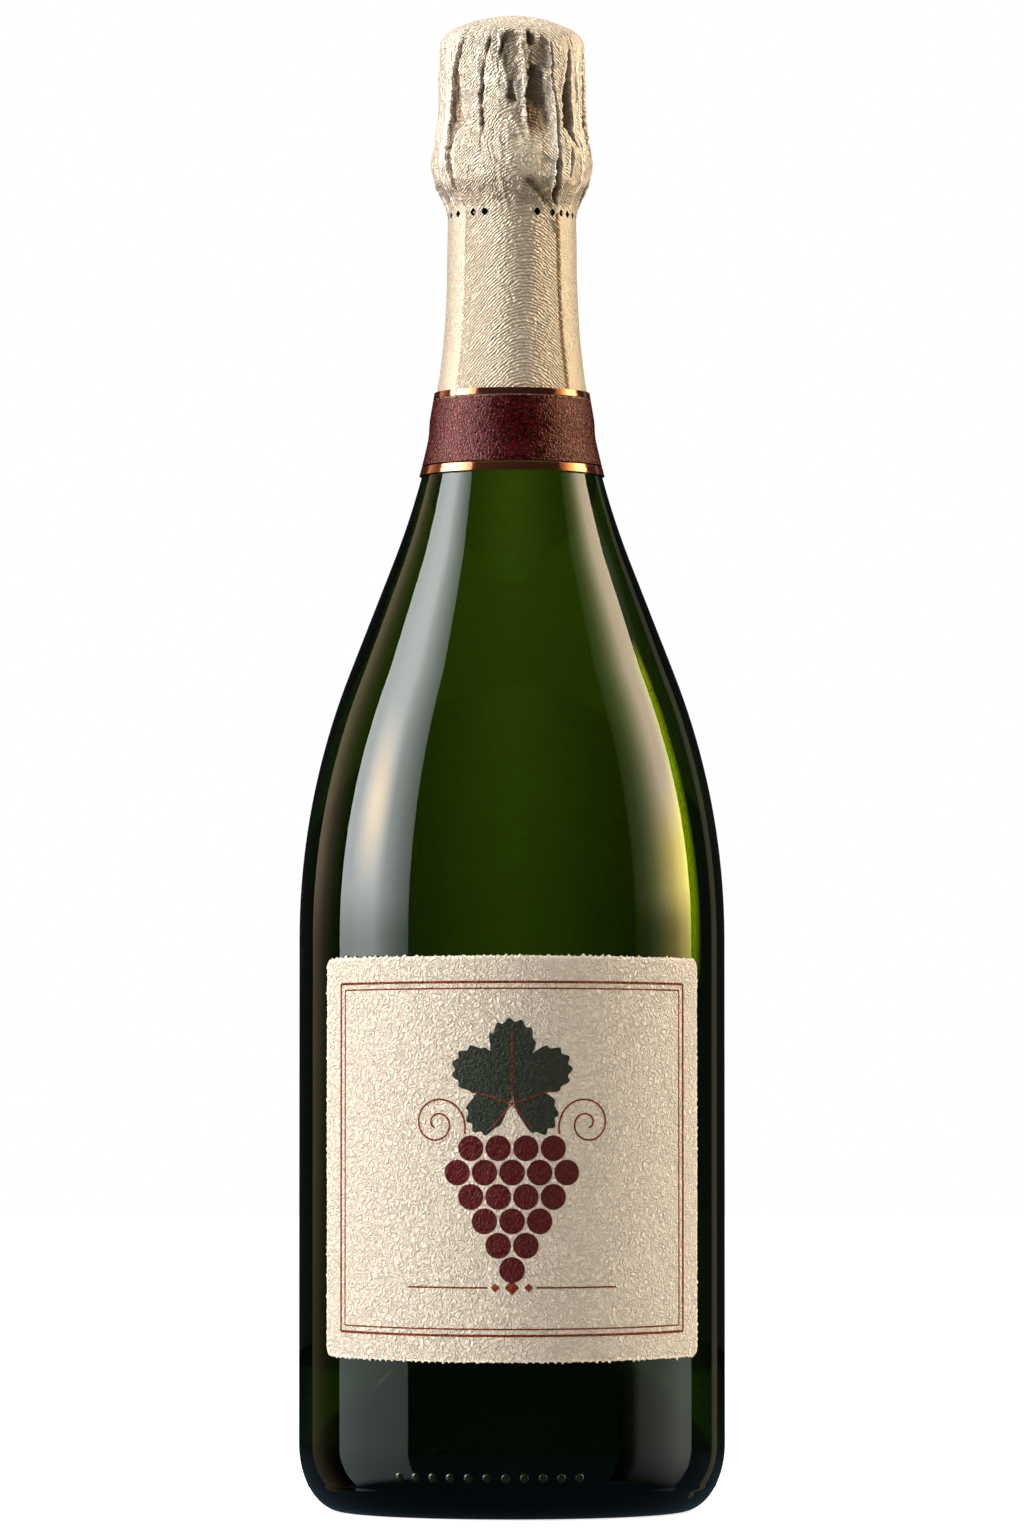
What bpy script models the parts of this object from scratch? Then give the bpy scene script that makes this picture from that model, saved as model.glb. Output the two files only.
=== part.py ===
"""Sealed 75 cl sparkling wine bottle, built as it comes apart on a bench.

A thick green glass bottle holds the wine. A mushroom cork closes it, a metal
cap and a wire hood hold the cork down, and a pleated foil capsule with a
perforated tear line covers the hood. A neck band and a front label are glued
on. Metres, +Z up. The origin is the centre of the ring that the bottle stands
on, and the label faces -Y. Outlines are lists of (radius, height) points.
"""

import math

import bmesh
import bpy
from mathutils import Matrix, Vector

MM = 0.001

# Fineness of the turned and bent pieces
AROUND = 36
CORK_AROUND = 24
CAP_AROUND = 24
WIRE_SIDES_LEVEL = 1
CAGE_RING_STEPS = 16
BELT_STEPS = 24
LOOP_STEPS = 12
HOOK_STEPS = 6
MERGE = 0.01 * MM

# Clearances between pieces
GAP = 0.3 * MM
WIRE_GAP = 0.2 * MM
STRAND_GAP = 0.12 * MM
CORK_GAP = 0.2 * MM

# Glass, outside. The closure and the neck hang from the mouth, and the body
# ends where the shoulder's curves reach it.
MOUTH_HEIGHT = 295.5 * MM
BODY_RADIUS = 44.3 * MM
SHOULDER_RADIUS = 151.3 * MM
STRAIGHT_RUN = 25 * MM
NECK_CURVE_RADIUS = 170.6 * MM
NECK_RADIUS = 13.05 * MM
NECK_LENGTH = 36.1 * MM
NECK_FOOT = MOUTH_HEIGHT - NECK_LENGTH
NECK_TOP_RADIUS = 12.75 * MM
HEEL_RADIUS = 16 * MM
HEEL_HEIGHT = 13 * MM
FOOT_ROUND = 1.2 * MM
FOOT_REACH = 1.4 * MM
BEARING_WIDTH = 2.8 * MM

# Glass, punt and inside
PUNT_HEIGHT = 31 * MM
PUNT_CORNER = 1.5 * MM
PUNT_SIDE_SHARES = ((0.86, 0.45), (0.5, 1.0))
BASE_THICKNESS = 8 * MM
HEEL_FLOOR = 8.5 * MM
WALL = 5.3 * MM
NECK_BORE_RADIUS = 9.2 * MM
FLOOR_CORNER = 6 * MM
FLOOR_SIDE_SHARES = ((0.88, 0.3), (0.62, 1.0))
FLOOR_PULL_SHARES = (0.5, 0.4)

# Glass finish
MOUTH_BORE_RADIUS = 8.75 * MM
MOUTH_CHAMFER = 0.7 * MM
LIP_RADIUS = 13.2 * MM
LIP_HEIGHT = 6 * MM
LIP_ROUND = 1.2 * MM
CROWN_GROOVE_RADIUS = 12.3 * MM
CROWN_GROOVE_HEIGHT = 2.6 * MM
RING_RADIUS = 14.4 * MM
RING_DROP = 11.5 * MM
RING_HEIGHT = 6 * MM
RING_TOP = MOUTH_HEIGHT - RING_DROP
RING_BOTTOM = RING_TOP - RING_HEIGHT
RING_ROUND = 1.1 * MM
UNDER_RING = 1.6 * MM

# Row of mould dots on the heel
DOT_COUNT = 11
DOT_RADIUS = 0.95 * MM
DOT_RISE = 0.5 * MM
DOT_DROP = 4 * MM
DOT_FIRST_DEGREES = -31.7
DOT_STEP_DEGREES = 5.0

# Wine
FILL_DROP = 73.5 * MM
FILL_HEIGHT = MOUTH_HEIGHT - FILL_DROP

# Cork
HEAD_HEIGHT = 14.45 * MM
HEAD_DOME_RADIUS = 26 * MM
HEAD_CORNER_REACH = 10.2 * MM
HEAD_CORNER_RADIUS = 3 * MM
HEAD_BULGE = 0.3 * MM
HEAD_UNDER_ROUND = 1.6 * MM
SHANK_LENGTH = 15.6 * MM
CORK_DISC = 3.8 * MM
GLUE_GAP = 0.1 * MM

# Wire hood
CAP_SHEET = 0.3 * MM
CAP_RIM_DEGREES = 35.0
CAP_BUTTON_RADIUS = 4.6 * MM
CAP_BUTTON_RISE = 0.45 * MM
LEG_WIRE = 0.8 * MM
BELT_WIRE = 0.7 * MM
CAGE_RING_RADIUS = 7 * MM
LEG_COUNT = 4
LEG_FIRST_DEGREES = -34.0
LEG_TOP_SHARES = (0, 0.5)
LOOP_DEGREES = 17.0
LOOP_LEAD_DEGREES = 9.0
LOOP_HALF_WIDTH = 2.7 * MM
LOOP_LENGTH = 6.6 * MM
LOOP_LEAN_SHARES = ((0, 1), (0.35, 0.55), (1, 0))
LOOP_FOOT_SHARE = 0.75
HOOK_DEGREES = 250.0
TWIST_LENGTH = 4.6 * MM
TWIST_TURNS = 1.5

# Foil capsule
FOIL = 0.25 * MM
FOIL_GAP = 0.25 * MM
WAIST_RISE = 0.5 * MM
WAIST_HEIGHT = MOUTH_HEIGHT + WAIST_RISE
BULGE_RISE = 0.9 * MM
TEAR_DROP = 25.8 * MM
TEAR_HEIGHT = MOUTH_HEIGHT - TEAR_DROP
TEAR_GAP = 0.3 * MM
HOLE_SIZE = 1.1 * MM
PLEAT_DEPTH = 1.05 * MM
PLEAT_FADE = 5 * MM
COLUMN_DEGREES = 13.0
DOME_ROW_SHARE = 0.6

# Neck band, its copper edges and the front label
BAND_DROP = 62.7 * MM
BAND_HEIGHT = 17.4 * MM
BAND_TOP = MOUTH_HEIGHT - BAND_DROP
BAND_BOTTOM = BAND_TOP - BAND_HEIGHT
BAND_PAPER = 0.25 * MM
BAND_COVER = 5 * MM
UPPER_EDGE = 1.4 * MM
LOWER_EDGE = 1.8 * MM
LABEL_ABOVE_HEEL = 19.65 * MM
LABEL_BELOW_SHOULDER = 4.5 * MM
LABEL_WIDTH = 90.5 * MM
LABEL_CORNER = 1.7 * MM
LABEL_PAPER = 0.3 * MM
DECKLE_PITCH = 3 * MM
DECKLE_DEPTH = 0.3 * MM

# Foil outline between the tear line (0) and the waist (1), and how far it
# stands out between the tear line's radius (0) and the bulge's (1)
FOIL_SIDE_SHARES = (
    (0.82, 0.60),
    (0.66, 0.69),
    (0.55, 0.88),
    (0.45, 1.0),
    (0.35, 0.98),
    (0.215, 0.74),
    (0.145, 0.34),
    (0.07, 0.08),
)

# Holes of the tear line, in degrees round from the front
HOLE_DEGREES = (
    -71, -57, -37, -25, 23, 39, 50, 59.5, 70.5, 84, 97, 110, 123, 136,
    149, 162, 175, 188, 201, 214, 227, 240, 253, 266, 278,
)

# Pleats of the crown: degrees round from the front, half width in degrees,
# share of the depth, and how far down it runs, from the corner (0) to the
# tear line (1)
PLEAT_SHARES = (
    (-74, 5, 0.55, 0.75),
    (-50, 5, 0.9, 0.9),
    (-24, 3, 0.5, 0.45),
    (-3, 7, 0.55, 0.42),
    (18, 7, 1.0, 0.38),
    (36, 3, 0.6, 0.95),
    (48, 4, 0.85, 0.5),
    (74, 5, 0.8, 0.6),
    (96, 6, 0.6, 0.8),
    (117, 6, 0.9, 0.5),
    (133, 5, 0.6, 0.9),
    (162, 7, 0.95, 0.45),
    (184, 5, 0.6, 0.85),
    (204, 6, 0.85, 0.5),
    (222, 5, 0.5, 0.9),
    (250, 6, 0.9, 0.5),
    (268, 5, 0.6, 0.8),
)
PLEAT_BULGE_SHARE = 0.4


# Outline helpers

def arc(centre, radius, start, end, count):
    """Points on a circle from start to end degrees, in count equal steps."""
    points = []
    for step in range(count + 1):
        angle = math.radians(start + (end - start) * step / count)
        points.append((centre[0] + radius * math.cos(angle), centre[1] + radius * math.sin(angle)))
    return points


def bezier(start, pull_start, pull_end, end, count):
    """Points on a cubic curve, in count steps, with both ends."""
    points = []
    for step in range(count + 1):
        t = step / count
        weights = ((1 - t) ** 3, 3 * t * (1 - t) ** 2, 3 * t * t * (1 - t), t ** 3)
        corners = (start, pull_start, pull_end, end)
        points.append(tuple(sum(w * p[k] for w, p in zip(weights, corners)) for k in (0, 1)))
    return points


def between(low, high, share):
    return low + (high - low) * share


def smooth(share):
    """0 below 0, 1 above 1, with no kink between."""
    share = min(max(share, 0), 1)
    return share * share * (3 - 2 * share)


def offset(points, distance):
    """The outline moved to its right-hand side, as seen along its direction."""
    moved = []
    for index, point in enumerate(points):
        before = Vector(points[max(index - 1, 0)])
        after = Vector(points[min(index + 1, len(points) - 1)])
        along = (after - before).normalized()
        moved.append((point[0] + along.y * distance, point[1] - along.x * distance))
    return moved


def around(radius, degrees, height):
    """A point at this many degrees round from the front, towards +X."""
    angle = math.radians(degrees)
    return Vector((radius * math.sin(angle), -radius * math.cos(angle), height))


class Side:
    """The side of a bottle: a straight body, a convex shoulder arc, the straight
    run that touches both arcs, a concave neck arc and a tapering neck."""

    def __init__(self, body_radius, shoulder_radius, neck_radius, curve_radius, top_radius, top):
        self.body_radius = body_radius
        self.shoulder_radius = shoulder_radius
        self.neck_radius = neck_radius
        self.curve_radius = curve_radius
        self.top_radius = top_radius
        self.top = top
        arcs = shoulder_radius + curve_radius
        across = arcs + neck_radius - body_radius
        up = math.sqrt(arcs ** 2 + STRAIGHT_RUN ** 2 - across ** 2)
        self.shoulder = (body_radius - shoulder_radius, NECK_FOOT - up)
        self.curve = (neck_radius + curve_radius, NECK_FOOT)
        self.body_top = self.shoulder[1]
        self.touch = math.atan2(up, across) - math.atan2(STRAIGHT_RUN, arcs)
        self.line_top = self.curve[1] - curve_radius * math.sin(self.touch)
        self.line_foot = self.shoulder[1] + shoulder_radius * math.sin(self.touch)

    def outline(self, count):
        """From the foot of the neck down to the top of the straight body."""
        touch = math.degrees(self.touch)
        neck = arc(self.curve, self.curve_radius, 180, 180 + touch, count)
        return neck + arc(self.shoulder, self.shoulder_radius, touch, 0, count)

    def radius(self, height):
        if height >= NECK_FOOT:
            share = (height - NECK_FOOT) / (self.top - NECK_FOOT)
            return between(self.neck_radius, self.top_radius, share)
        if height >= self.line_top:
            drop = self.curve[1] - height
            return self.curve[0] - math.sqrt(self.curve_radius ** 2 - drop ** 2)
        if height >= self.line_foot:
            foot_radius = self.shoulder[0] + self.shoulder_radius * math.cos(self.touch)
            return foot_radius - (height - self.line_foot) * math.tan(self.touch)
        if height >= self.body_top:
            rise = height - self.shoulder[1]
            return self.shoulder[0] + math.sqrt(self.shoulder_radius ** 2 - rise ** 2)
        return self.body_radius


OUTSIDE = Side(BODY_RADIUS, SHOULDER_RADIUS, NECK_RADIUS, NECK_CURVE_RADIUS,
               NECK_TOP_RADIUS, RING_BOTTOM - UNDER_RING)
INSIDE = Side(BODY_RADIUS - WALL, SHOULDER_RADIUS - WALL, NECK_BORE_RADIUS,
              NECK_CURVE_RADIUS + WALL, MOUTH_BORE_RADIUS, RING_TOP)
LABEL_BOTTOM = HEEL_HEIGHT + LABEL_ABOVE_HEEL
LABEL_TOP = OUTSIDE.body_top - LABEL_BELOW_SHOULDER


def heel_outline():
    """From the straight body down round the heel to the bearing ring."""
    centre = (BODY_RADIUS - HEEL_RADIUS, HEEL_HEIGHT)
    end = -math.degrees(math.asin((HEEL_HEIGHT - FOOT_ROUND) / HEEL_RADIUS))
    heel = arc(centre, HEEL_RADIUS, 0, end, 4)
    last = heel[-1]
    lean = math.radians(-end)
    ground = (last[0] - FOOT_ROUND * math.tan(lean), 0)
    foot = bezier(last, ground, ground, (ground[0] - FOOT_REACH, 0), 2)
    return heel + foot[1:]


def punt_outline(bearing_inner):
    """From the inner edge of the bearing ring up to the punt's peak."""
    (side_r, side_z), (dome_r, dome_z) = PUNT_SIDE_SHARES
    start = (bearing_inner - PUNT_CORNER, PUNT_CORNER)
    pull_start = (start[0] * side_r, PUNT_HEIGHT * side_z)
    pull_end = (start[0] * dome_r, PUNT_HEIGHT * dome_z)
    return bezier(start, pull_start, pull_end, (0, PUNT_HEIGHT), 6)


def inside_outline():
    """From the middle of the inner floor, over the punt and up to the mouth."""
    inner = BODY_RADIUS - WALL
    valley = (inner - FLOOR_CORNER, HEEL_FLOOR)
    (side_r, side_z), (dome_r, dome_z) = FLOOR_SIDE_SHARES
    peak = PUNT_HEIGHT + BASE_THICKNESS
    floor = bezier(
        (0, peak),
        (valley[0] * dome_r, peak * dome_z),
        (valley[0] * side_r, between(HEEL_FLOOR, peak, side_z)),
        valley,
        6,
    )
    turn_up = (inner, HEEL_FLOOR + FLOOR_CORNER)
    out, up = FLOOR_PULL_SHARES
    pull_out = (between(valley[0], inner, out), HEEL_FLOOR)
    pull_up = (inner, between(HEEL_FLOOR, turn_up[1], up))
    corner = bezier(valley, pull_out, pull_up, turn_up, 3)
    side = INSIDE.outline(4)[::-1]
    bore = [
        (MOUTH_BORE_RADIUS, RING_TOP),
        (MOUTH_BORE_RADIUS, MOUTH_HEIGHT - MOUTH_CHAMFER),
        (MOUTH_BORE_RADIUS + MOUTH_CHAMFER, MOUTH_HEIGHT),
    ]
    return floor[:-1] + corner + side + bore


def finish_outline():
    """From the flat of the mouth down over the lip and the ring to the neck."""
    lip_foot = MOUTH_HEIGHT - LIP_HEIGHT
    groove_foot = lip_foot - CROWN_GROOVE_HEIGHT
    lip = arc((LIP_RADIUS - LIP_ROUND, MOUTH_HEIGHT - LIP_ROUND), LIP_ROUND, 90, 0, 2)
    ring_in = RING_RADIUS - RING_ROUND
    ring_top = arc((ring_in, RING_TOP - RING_ROUND), RING_ROUND, 75, 0, 2)
    ring_foot = arc((ring_in, RING_BOTTOM + RING_ROUND), RING_ROUND, 0, -80, 2)
    return (
        lip
        + [(LIP_RADIUS, lip_foot), (CROWN_GROOVE_RADIUS, lip_foot - LIP_ROUND / 2)]
        + [(CROWN_GROOVE_RADIUS, groove_foot)]
        + ring_top
        + ring_foot
        + [(NECK_TOP_RADIUS, RING_BOTTOM - UNDER_RING)]
    )


# The cork head's outline, which the cap, the wires and the foil follow at
# growing distances

HEAD_TOP = MOUTH_HEIGHT + HEAD_HEIGHT
DOME_CENTRE = HEAD_TOP - HEAD_DOME_RADIUS
CORNER_CENTRE_HEIGHT = DOME_CENTRE + math.sqrt(
    (HEAD_DOME_RADIUS - HEAD_CORNER_RADIUS) ** 2 - HEAD_CORNER_REACH ** 2
)
CAP_UNDER = WIRE_GAP
CAP_OUTSIDE = CAP_UNDER + CAP_SHEET
CAGE_OFFSET = CAP_OUTSIDE + WIRE_GAP + LEG_WIRE / 2
FOIL_OUTSIDE = CAGE_OFFSET + LEG_WIRE / 2 + FOIL_GAP + FOIL


def dome_point(radius, out):
    """The domed top at this radius, moved out from the cork by this much."""
    return (radius, DOME_CENTRE + math.sqrt((HEAD_DOME_RADIUS + out) ** 2 - radius ** 2))


def corner_top_degrees():
    """Where the corner's arc meets the dome, as degrees up from level."""
    return math.degrees(math.atan2(CORNER_CENTRE_HEIGHT - DOME_CENTRE, HEAD_CORNER_REACH))


def corner_outline(out, count):
    """The rounded corner, from the dome down to the straight side."""
    centre = (HEAD_CORNER_REACH, CORNER_CENTRE_HEIGHT)
    return arc(centre, HEAD_CORNER_RADIUS + out, corner_top_degrees(), 0, count)


def leg_degrees():
    return [LEG_FIRST_DEGREES + 360 / LEG_COUNT * index for index in range(LEG_COUNT)]


# Seat of the belt wire under the glass ring, held in the hooks of the legs

HOOK_RADIUS = BELT_WIRE / 2 + WIRE_GAP + LEG_WIRE / 2
BELT_RADIUS = NECK_TOP_RADIUS + WIRE_GAP + HOOK_RADIUS + LEG_WIRE / 2
BELT_HEIGHT = RING_BOTTOM - WIRE_GAP - HOOK_RADIUS - LEG_WIRE / 2


# Making objects

def new_material(name, color, roughness, metallic=0.0, transmission=0.0, alpha=1.0):
    material = bpy.data.materials.new(name)
    material.use_nodes = True
    shader = material.node_tree.nodes["Principled BSDF"]
    shader.inputs["Base Color"].default_value = (*color, 1.0)
    shader.inputs["Roughness"].default_value = roughness
    shader.inputs["Metallic"].default_value = metallic
    shader.inputs["Transmission Weight"].default_value = transmission
    shader.inputs["Alpha"].default_value = alpha
    material.diffuse_color = (*color, alpha)
    return material


def new_object(name, mesh, collection, material=None):
    thing = bpy.data.objects.new(name, mesh)
    collection.objects.link(thing)
    if material:
        mesh.materials.append(material)
    return thing


def as_cutter(thing):
    thing.hide_render = True
    thing.display_type = "WIRE"
    return thing


def turned(name, outline, steps, collection, material, closed=False):
    """The outline, which runs down its outer side, turned about the Z axis."""
    shape = bmesh.new()
    points = [shape.verts.new((radius, 0, height)) for radius, height in outline]
    for start, end in zip(points, points[1:]):
        shape.edges.new((start, end))
    if closed:
        shape.edges.new((points[-1], points[0]))
    mesh = bpy.data.meshes.new(name)
    shape.to_mesh(mesh)
    shape.free()
    thing = new_object(name, mesh, collection, material)
    turn = thing.modifiers.new("Turn", "SCREW")
    turn.axis = "Z"
    turn.steps = steps
    turn.render_steps = steps
    turn.use_merge_vertices = True
    turn.merge_threshold = MERGE
    return thing


def sleeve(name, top, bottom, rows, inner_radius, thickness, collection, material):
    """A thin ring between two heights, over the radius that a function gives."""
    heights = [between(top, bottom, row / rows) for row in range(rows + 1)]
    inside = [(inner_radius(height), height) for height in heights]
    outside = [(radius + thickness, height) for radius, height in inside]
    return turned(name, outside + inside[::-1], AROUND, collection, material, closed=True)


def wire(name, points, diameter, collection, cyclic=False):
    """A round wire through the points, as a closed mesh."""
    curve = bpy.data.curves.new(name, "CURVE")
    curve.dimensions = "3D"
    curve.bevel_depth = diameter / 2
    curve.bevel_resolution = WIRE_SIDES_LEVEL
    curve.use_fill_caps = not cyclic
    spline = curve.splines.new("POLY")
    spline.points.add(len(points) - 1)
    for place, point in zip(spline.points, points):
        place.co = (*point, 1)
    spline.use_cyclic_u = cyclic
    holder = bpy.data.objects.new(name + "_curve", curve)
    collection.objects.link(holder)
    graph = bpy.context.evaluated_depsgraph_get()
    mesh = bpy.data.meshes.new_from_object(holder.evaluated_get(graph))
    bpy.data.objects.remove(holder)
    bpy.data.curves.remove(curve)
    shape = bmesh.new()
    shape.from_mesh(mesh)
    bmesh.ops.remove_doubles(shape, verts=shape.verts, dist=MERGE)
    bmesh.ops.recalc_face_normals(shape, faces=shape.faces)
    shape.to_mesh(mesh)
    shape.free()
    mesh.name = name
    mesh.shade_smooth()
    return new_object(name, mesh, collection)


def boolean(thing, operation, other):
    step = thing.modifiers.new(other.name, "BOOLEAN")
    step.operation = operation
    step.object = other
    step.solver = "EXACT"
    return step


# The pieces

def make_mould_dots(cutters):
    """Low domes on the heel, as one object of separate shapes."""
    shape = bmesh.new()
    lean = math.asin(DOT_DROP / HEEL_RADIUS)
    radius = BODY_RADIUS - HEEL_RADIUS * (1 - math.cos(lean))
    for index in range(DOT_COUNT):
        degrees = DOT_FIRST_DEGREES + DOT_STEP_DEGREES * index
        place = (
            Matrix.Translation(around(radius, degrees, HEEL_HEIGHT - DOT_DROP))
            @ Matrix.Rotation(math.radians(degrees - 90), 4, "Z")
            @ Matrix.Rotation(lean, 4, "Y")
            @ Matrix.Diagonal((DOT_RISE, DOT_RADIUS, DOT_RADIUS, 1))
        )
        bmesh.ops.create_icosphere(shape, subdivisions=1, radius=1, matrix=place)
    mesh = bpy.data.meshes.new("mould_dots")
    shape.to_mesh(mesh)
    shape.free()
    return as_cutter(new_object("mould_dots", mesh, cutters))


def make_glass_bottle(parts, cutters):
    heel = heel_outline()
    bearing_inner = heel[-1][0] - BEARING_WIDTH
    outline = (
        inside_outline()
        + finish_outline()
        + OUTSIDE.outline(5)
        + heel
        + [(bearing_inner, 0)]
        + punt_outline(bearing_inner)
    )
    green = new_material("green_glass", (0.03, 0.09, 0.02), 0.05, transmission=0.9)
    glass = turned("glass_bottle", outline, AROUND, parts, green)
    boolean(glass, "UNION", make_mould_dots(cutters))
    return glass


def make_wine(parts):
    """The filling, a gap clear of the glass all round."""
    outline = offset(inside_outline(), -GAP)
    outline[0] = (0, outline[0][1])
    wetted = [point for point in outline if point[1] < FILL_HEIGHT]
    surface = [(0, FILL_HEIGHT), (INSIDE.radius(FILL_HEIGHT) - GAP, FILL_HEIGHT)]
    filling = surface + wetted[::-1]
    straw = new_material("wine", (0.80, 0.62, 0.22), 0.02, transmission=1.0)
    return turned("wine", filling, AROUND, parts, straw)


def make_cork(parts):
    """The agglomerate body and the two natural cork discs glued under it."""
    head = [(0, HEAD_TOP), dome_point(HEAD_CORNER_REACH / 2, 0)]
    side = corner_outline(0, 3)
    side_radius = HEAD_CORNER_REACH + HEAD_CORNER_RADIUS
    head_foot = MOUTH_HEIGHT + GAP
    widest = side_radius + HEAD_BULGE
    bulge = [(widest, (head_foot + CORNER_CENTRE_HEIGHT) / 2)]
    under = arc((widest - HEAD_UNDER_ROUND, head_foot + HEAD_UNDER_ROUND), HEAD_UNDER_ROUND, 0, -90, 2)
    shank_radius = MOUTH_BORE_RADIUS - CORK_GAP
    shank_foot = MOUTH_HEIGHT - SHANK_LENGTH
    shank = [
        (shank_radius + MOUTH_CHAMFER, head_foot),
        (shank_radius, MOUTH_HEIGHT - MOUTH_CHAMFER),
        (shank_radius, shank_foot),
        (0, shank_foot),
    ]
    granulated = new_material("agglomerate_cork", (0.62, 0.43, 0.27), 0.85)
    natural = new_material("natural_cork", (0.70, 0.50, 0.32), 0.8)
    made = [turned("cork_body", head + side + bulge + under + shank, CORK_AROUND, parts, granulated)]
    top = shank_foot - GLUE_GAP
    for name in ("cork_disc_upper", "cork_disc_lower"):
        disc = [(0, top), (shank_radius, top), (shank_radius, top - CORK_DISC), (0, top - CORK_DISC)]
        made.append(turned(name, disc, CORK_AROUND, parts, natural))
        top -= CORK_DISC + GLUE_GAP
    return made


def make_hood_cap(parts):
    """The domed metal disc between the cork and the wires, with its rim turned down."""
    flat_part = CAP_BUTTON_RADIUS / 2
    skins = []
    for out in (CAP_OUTSIDE, CAP_UNDER):
        middle = dome_point(flat_part, out)[1] + CAP_BUTTON_RISE
        centre = (HEAD_CORNER_REACH, CORNER_CENTRE_HEIGHT)
        rim = arc(centre, HEAD_CORNER_RADIUS + out, corner_top_degrees(), CAP_RIM_DEGREES, 2)
        button = [(0, middle), (flat_part, middle), dome_point(CAP_BUTTON_RADIUS, out)]
        skins.append(button + rim)
    tinplate = new_material("cap_tinplate", (0.72, 0.62, 0.42), 0.3, metallic=1.0)
    return turned("hood_cap", skins[0] + skins[1][::-1], CAP_AROUND, parts, tinplate)


def leg_path():
    """One leg in its own (radius, height) plane, from the top ring to its hook."""
    over = [dome_point(between(CAGE_RING_RADIUS, HEAD_CORNER_REACH, share), CAGE_OFFSET)
            for share in LEG_TOP_SHARES]
    corner = corner_outline(CAGE_OFFSET, 3)
    ring_clear = RING_RADIUS + WIRE_GAP + LEG_WIRE / 2
    down = [(corner[-1][0], WAIST_HEIGHT), (ring_clear, RING_TOP), (ring_clear, RING_BOTTOM)]
    hook = arc((BELT_RADIUS, BELT_HEIGHT), HOOK_RADIUS, 0, -HOOK_DEGREES, HOOK_STEPS)
    return over + corner + down + hook


def make_hood_cage(parts, cutters, steel):
    """A ring on top of the cap and four legs that hook round the belt wire."""
    ring_at = dome_point(CAGE_RING_RADIUS, CAGE_OFFSET)
    spacing = 360 / CAGE_RING_STEPS
    ring = [around(ring_at[0], spacing * step, ring_at[1]) for step in range(CAGE_RING_STEPS)]
    cage = wire("hood_cage", ring, LEG_WIRE, parts, cyclic=True)
    cage.data.materials.append(steel)
    for index, degrees in enumerate(leg_degrees()):
        path = [around(radius, degrees, height) for radius, height in leg_path()]
        leg = wire(f"cage_leg_{index + 1}", path, LEG_WIRE, cutters)
        boolean(cage, "UNION", as_cutter(leg))
    return cage


def loop_lean(share, low, high):
    """Radius of the folded loop at this share of its length, from its lean."""
    for (start, a), (end, b) in zip(LOOP_LEAN_SHARES, LOOP_LEAN_SHARES[1:]):
        if share <= end:
            return between(low, high, between(a, b, (share - start) / (end - start)))
    return low


def belt_path():
    """Round the neck, up one twisted strand, over the loop and down the other."""
    strand = BELT_WIRE / 2 + STRAND_GAP / 2
    twist_radius = RING_RADIUS + WIRE_GAP + strand + BELT_WIRE / 2
    foot = RING_BOTTOM - BELT_WIRE / 2
    points = []
    first = LOOP_DEGREES + LOOP_LEAD_DEGREES
    for step in range(BELT_STEPS + 1):
        degrees = first + (360 - 2 * LOOP_LEAD_DEGREES) * step / BELT_STEPS
        points.append(around(BELT_RADIUS, degrees, BELT_HEIGHT))
    half_turns = int(2 * TWIST_TURNS)
    steps = 4 * half_turns

    def strand_point(side, share):
        turn = math.pi * half_turns * share
        radius = twist_radius + side * strand * math.sin(turn)
        across = -side * strand * math.cos(turn)
        height = foot + TWIST_LENGTH * share
        return around(radius, LOOP_DEGREES + math.degrees(across / twist_radius), height)

    up = [strand_point(1, step / steps) for step in range(steps + 1)]
    down = [strand_point(-1, 1 - step / steps) for step in range(steps + 1)]
    loop_foot = foot + TWIST_LENGTH
    lean_in = corner_outline(CAGE_OFFSET, 1)[-1][0] + LEG_WIRE / 2
    sign = 1 if half_turns % 2 == 0 else -1
    loop = []
    for step in range(1, LOOP_STEPS):
        angle = math.pi * 2 * step / LOOP_STEPS
        rise = (1 - math.cos(angle)) / 2
        across = -sign * LOOP_HALF_WIDTH * math.sin(angle) * between(LOOP_FOOT_SHARE, 1, rise)
        radius = loop_lean(rise, lean_in, twist_radius)
        height = loop_foot + strand + LOOP_LENGTH * rise
        loop.append(around(radius, LOOP_DEGREES + math.degrees(across / radius), height))
    return points + up + loop + down


def make_hood_belt(parts, steel):
    """The lower wire, drawn tight under the glass ring by its twisted loop."""
    belt = wire("hood_belt", belt_path(), BELT_WIRE, parts, cyclic=True)
    belt.data.materials.append(steel)
    return belt


def foil_seat(height):
    """Inside of the foil where it lies on the glass."""
    return OUTSIDE.radius(height) + GAP


def crown_outline():
    """The foil's outer side before it is pleated, from its top to the tear line."""
    dome = [(0, HEAD_TOP + FOIL_OUTSIDE)]
    dome.append(dome_point(HEAD_CORNER_REACH * DOME_ROW_SHARE, FOIL_OUTSIDE))
    corner = corner_outline(FOIL_OUTSIDE, 3)
    side = corner[-1][0]
    waist = [(side + FOIL / 2, (WAIST_HEIGHT + CORNER_CENTRE_HEIGHT) / 2), (side, WAIST_HEIGHT)]
    foot = TEAR_HEIGHT + TEAR_GAP / 2
    foot_radius = foil_seat(foot) + FOIL
    bulge = RING_RADIUS + WIRE_GAP + LEG_WIRE + FOIL_GAP + FOIL + BULGE_RISE
    skirt = [
        (between(foot_radius, bulge, out), between(foot, WAIST_HEIGHT, up))
        for up, out in FOIL_SIDE_SHARES
    ]
    return dome + corner + waist + skirt + [(foot_radius, foot)]


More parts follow.
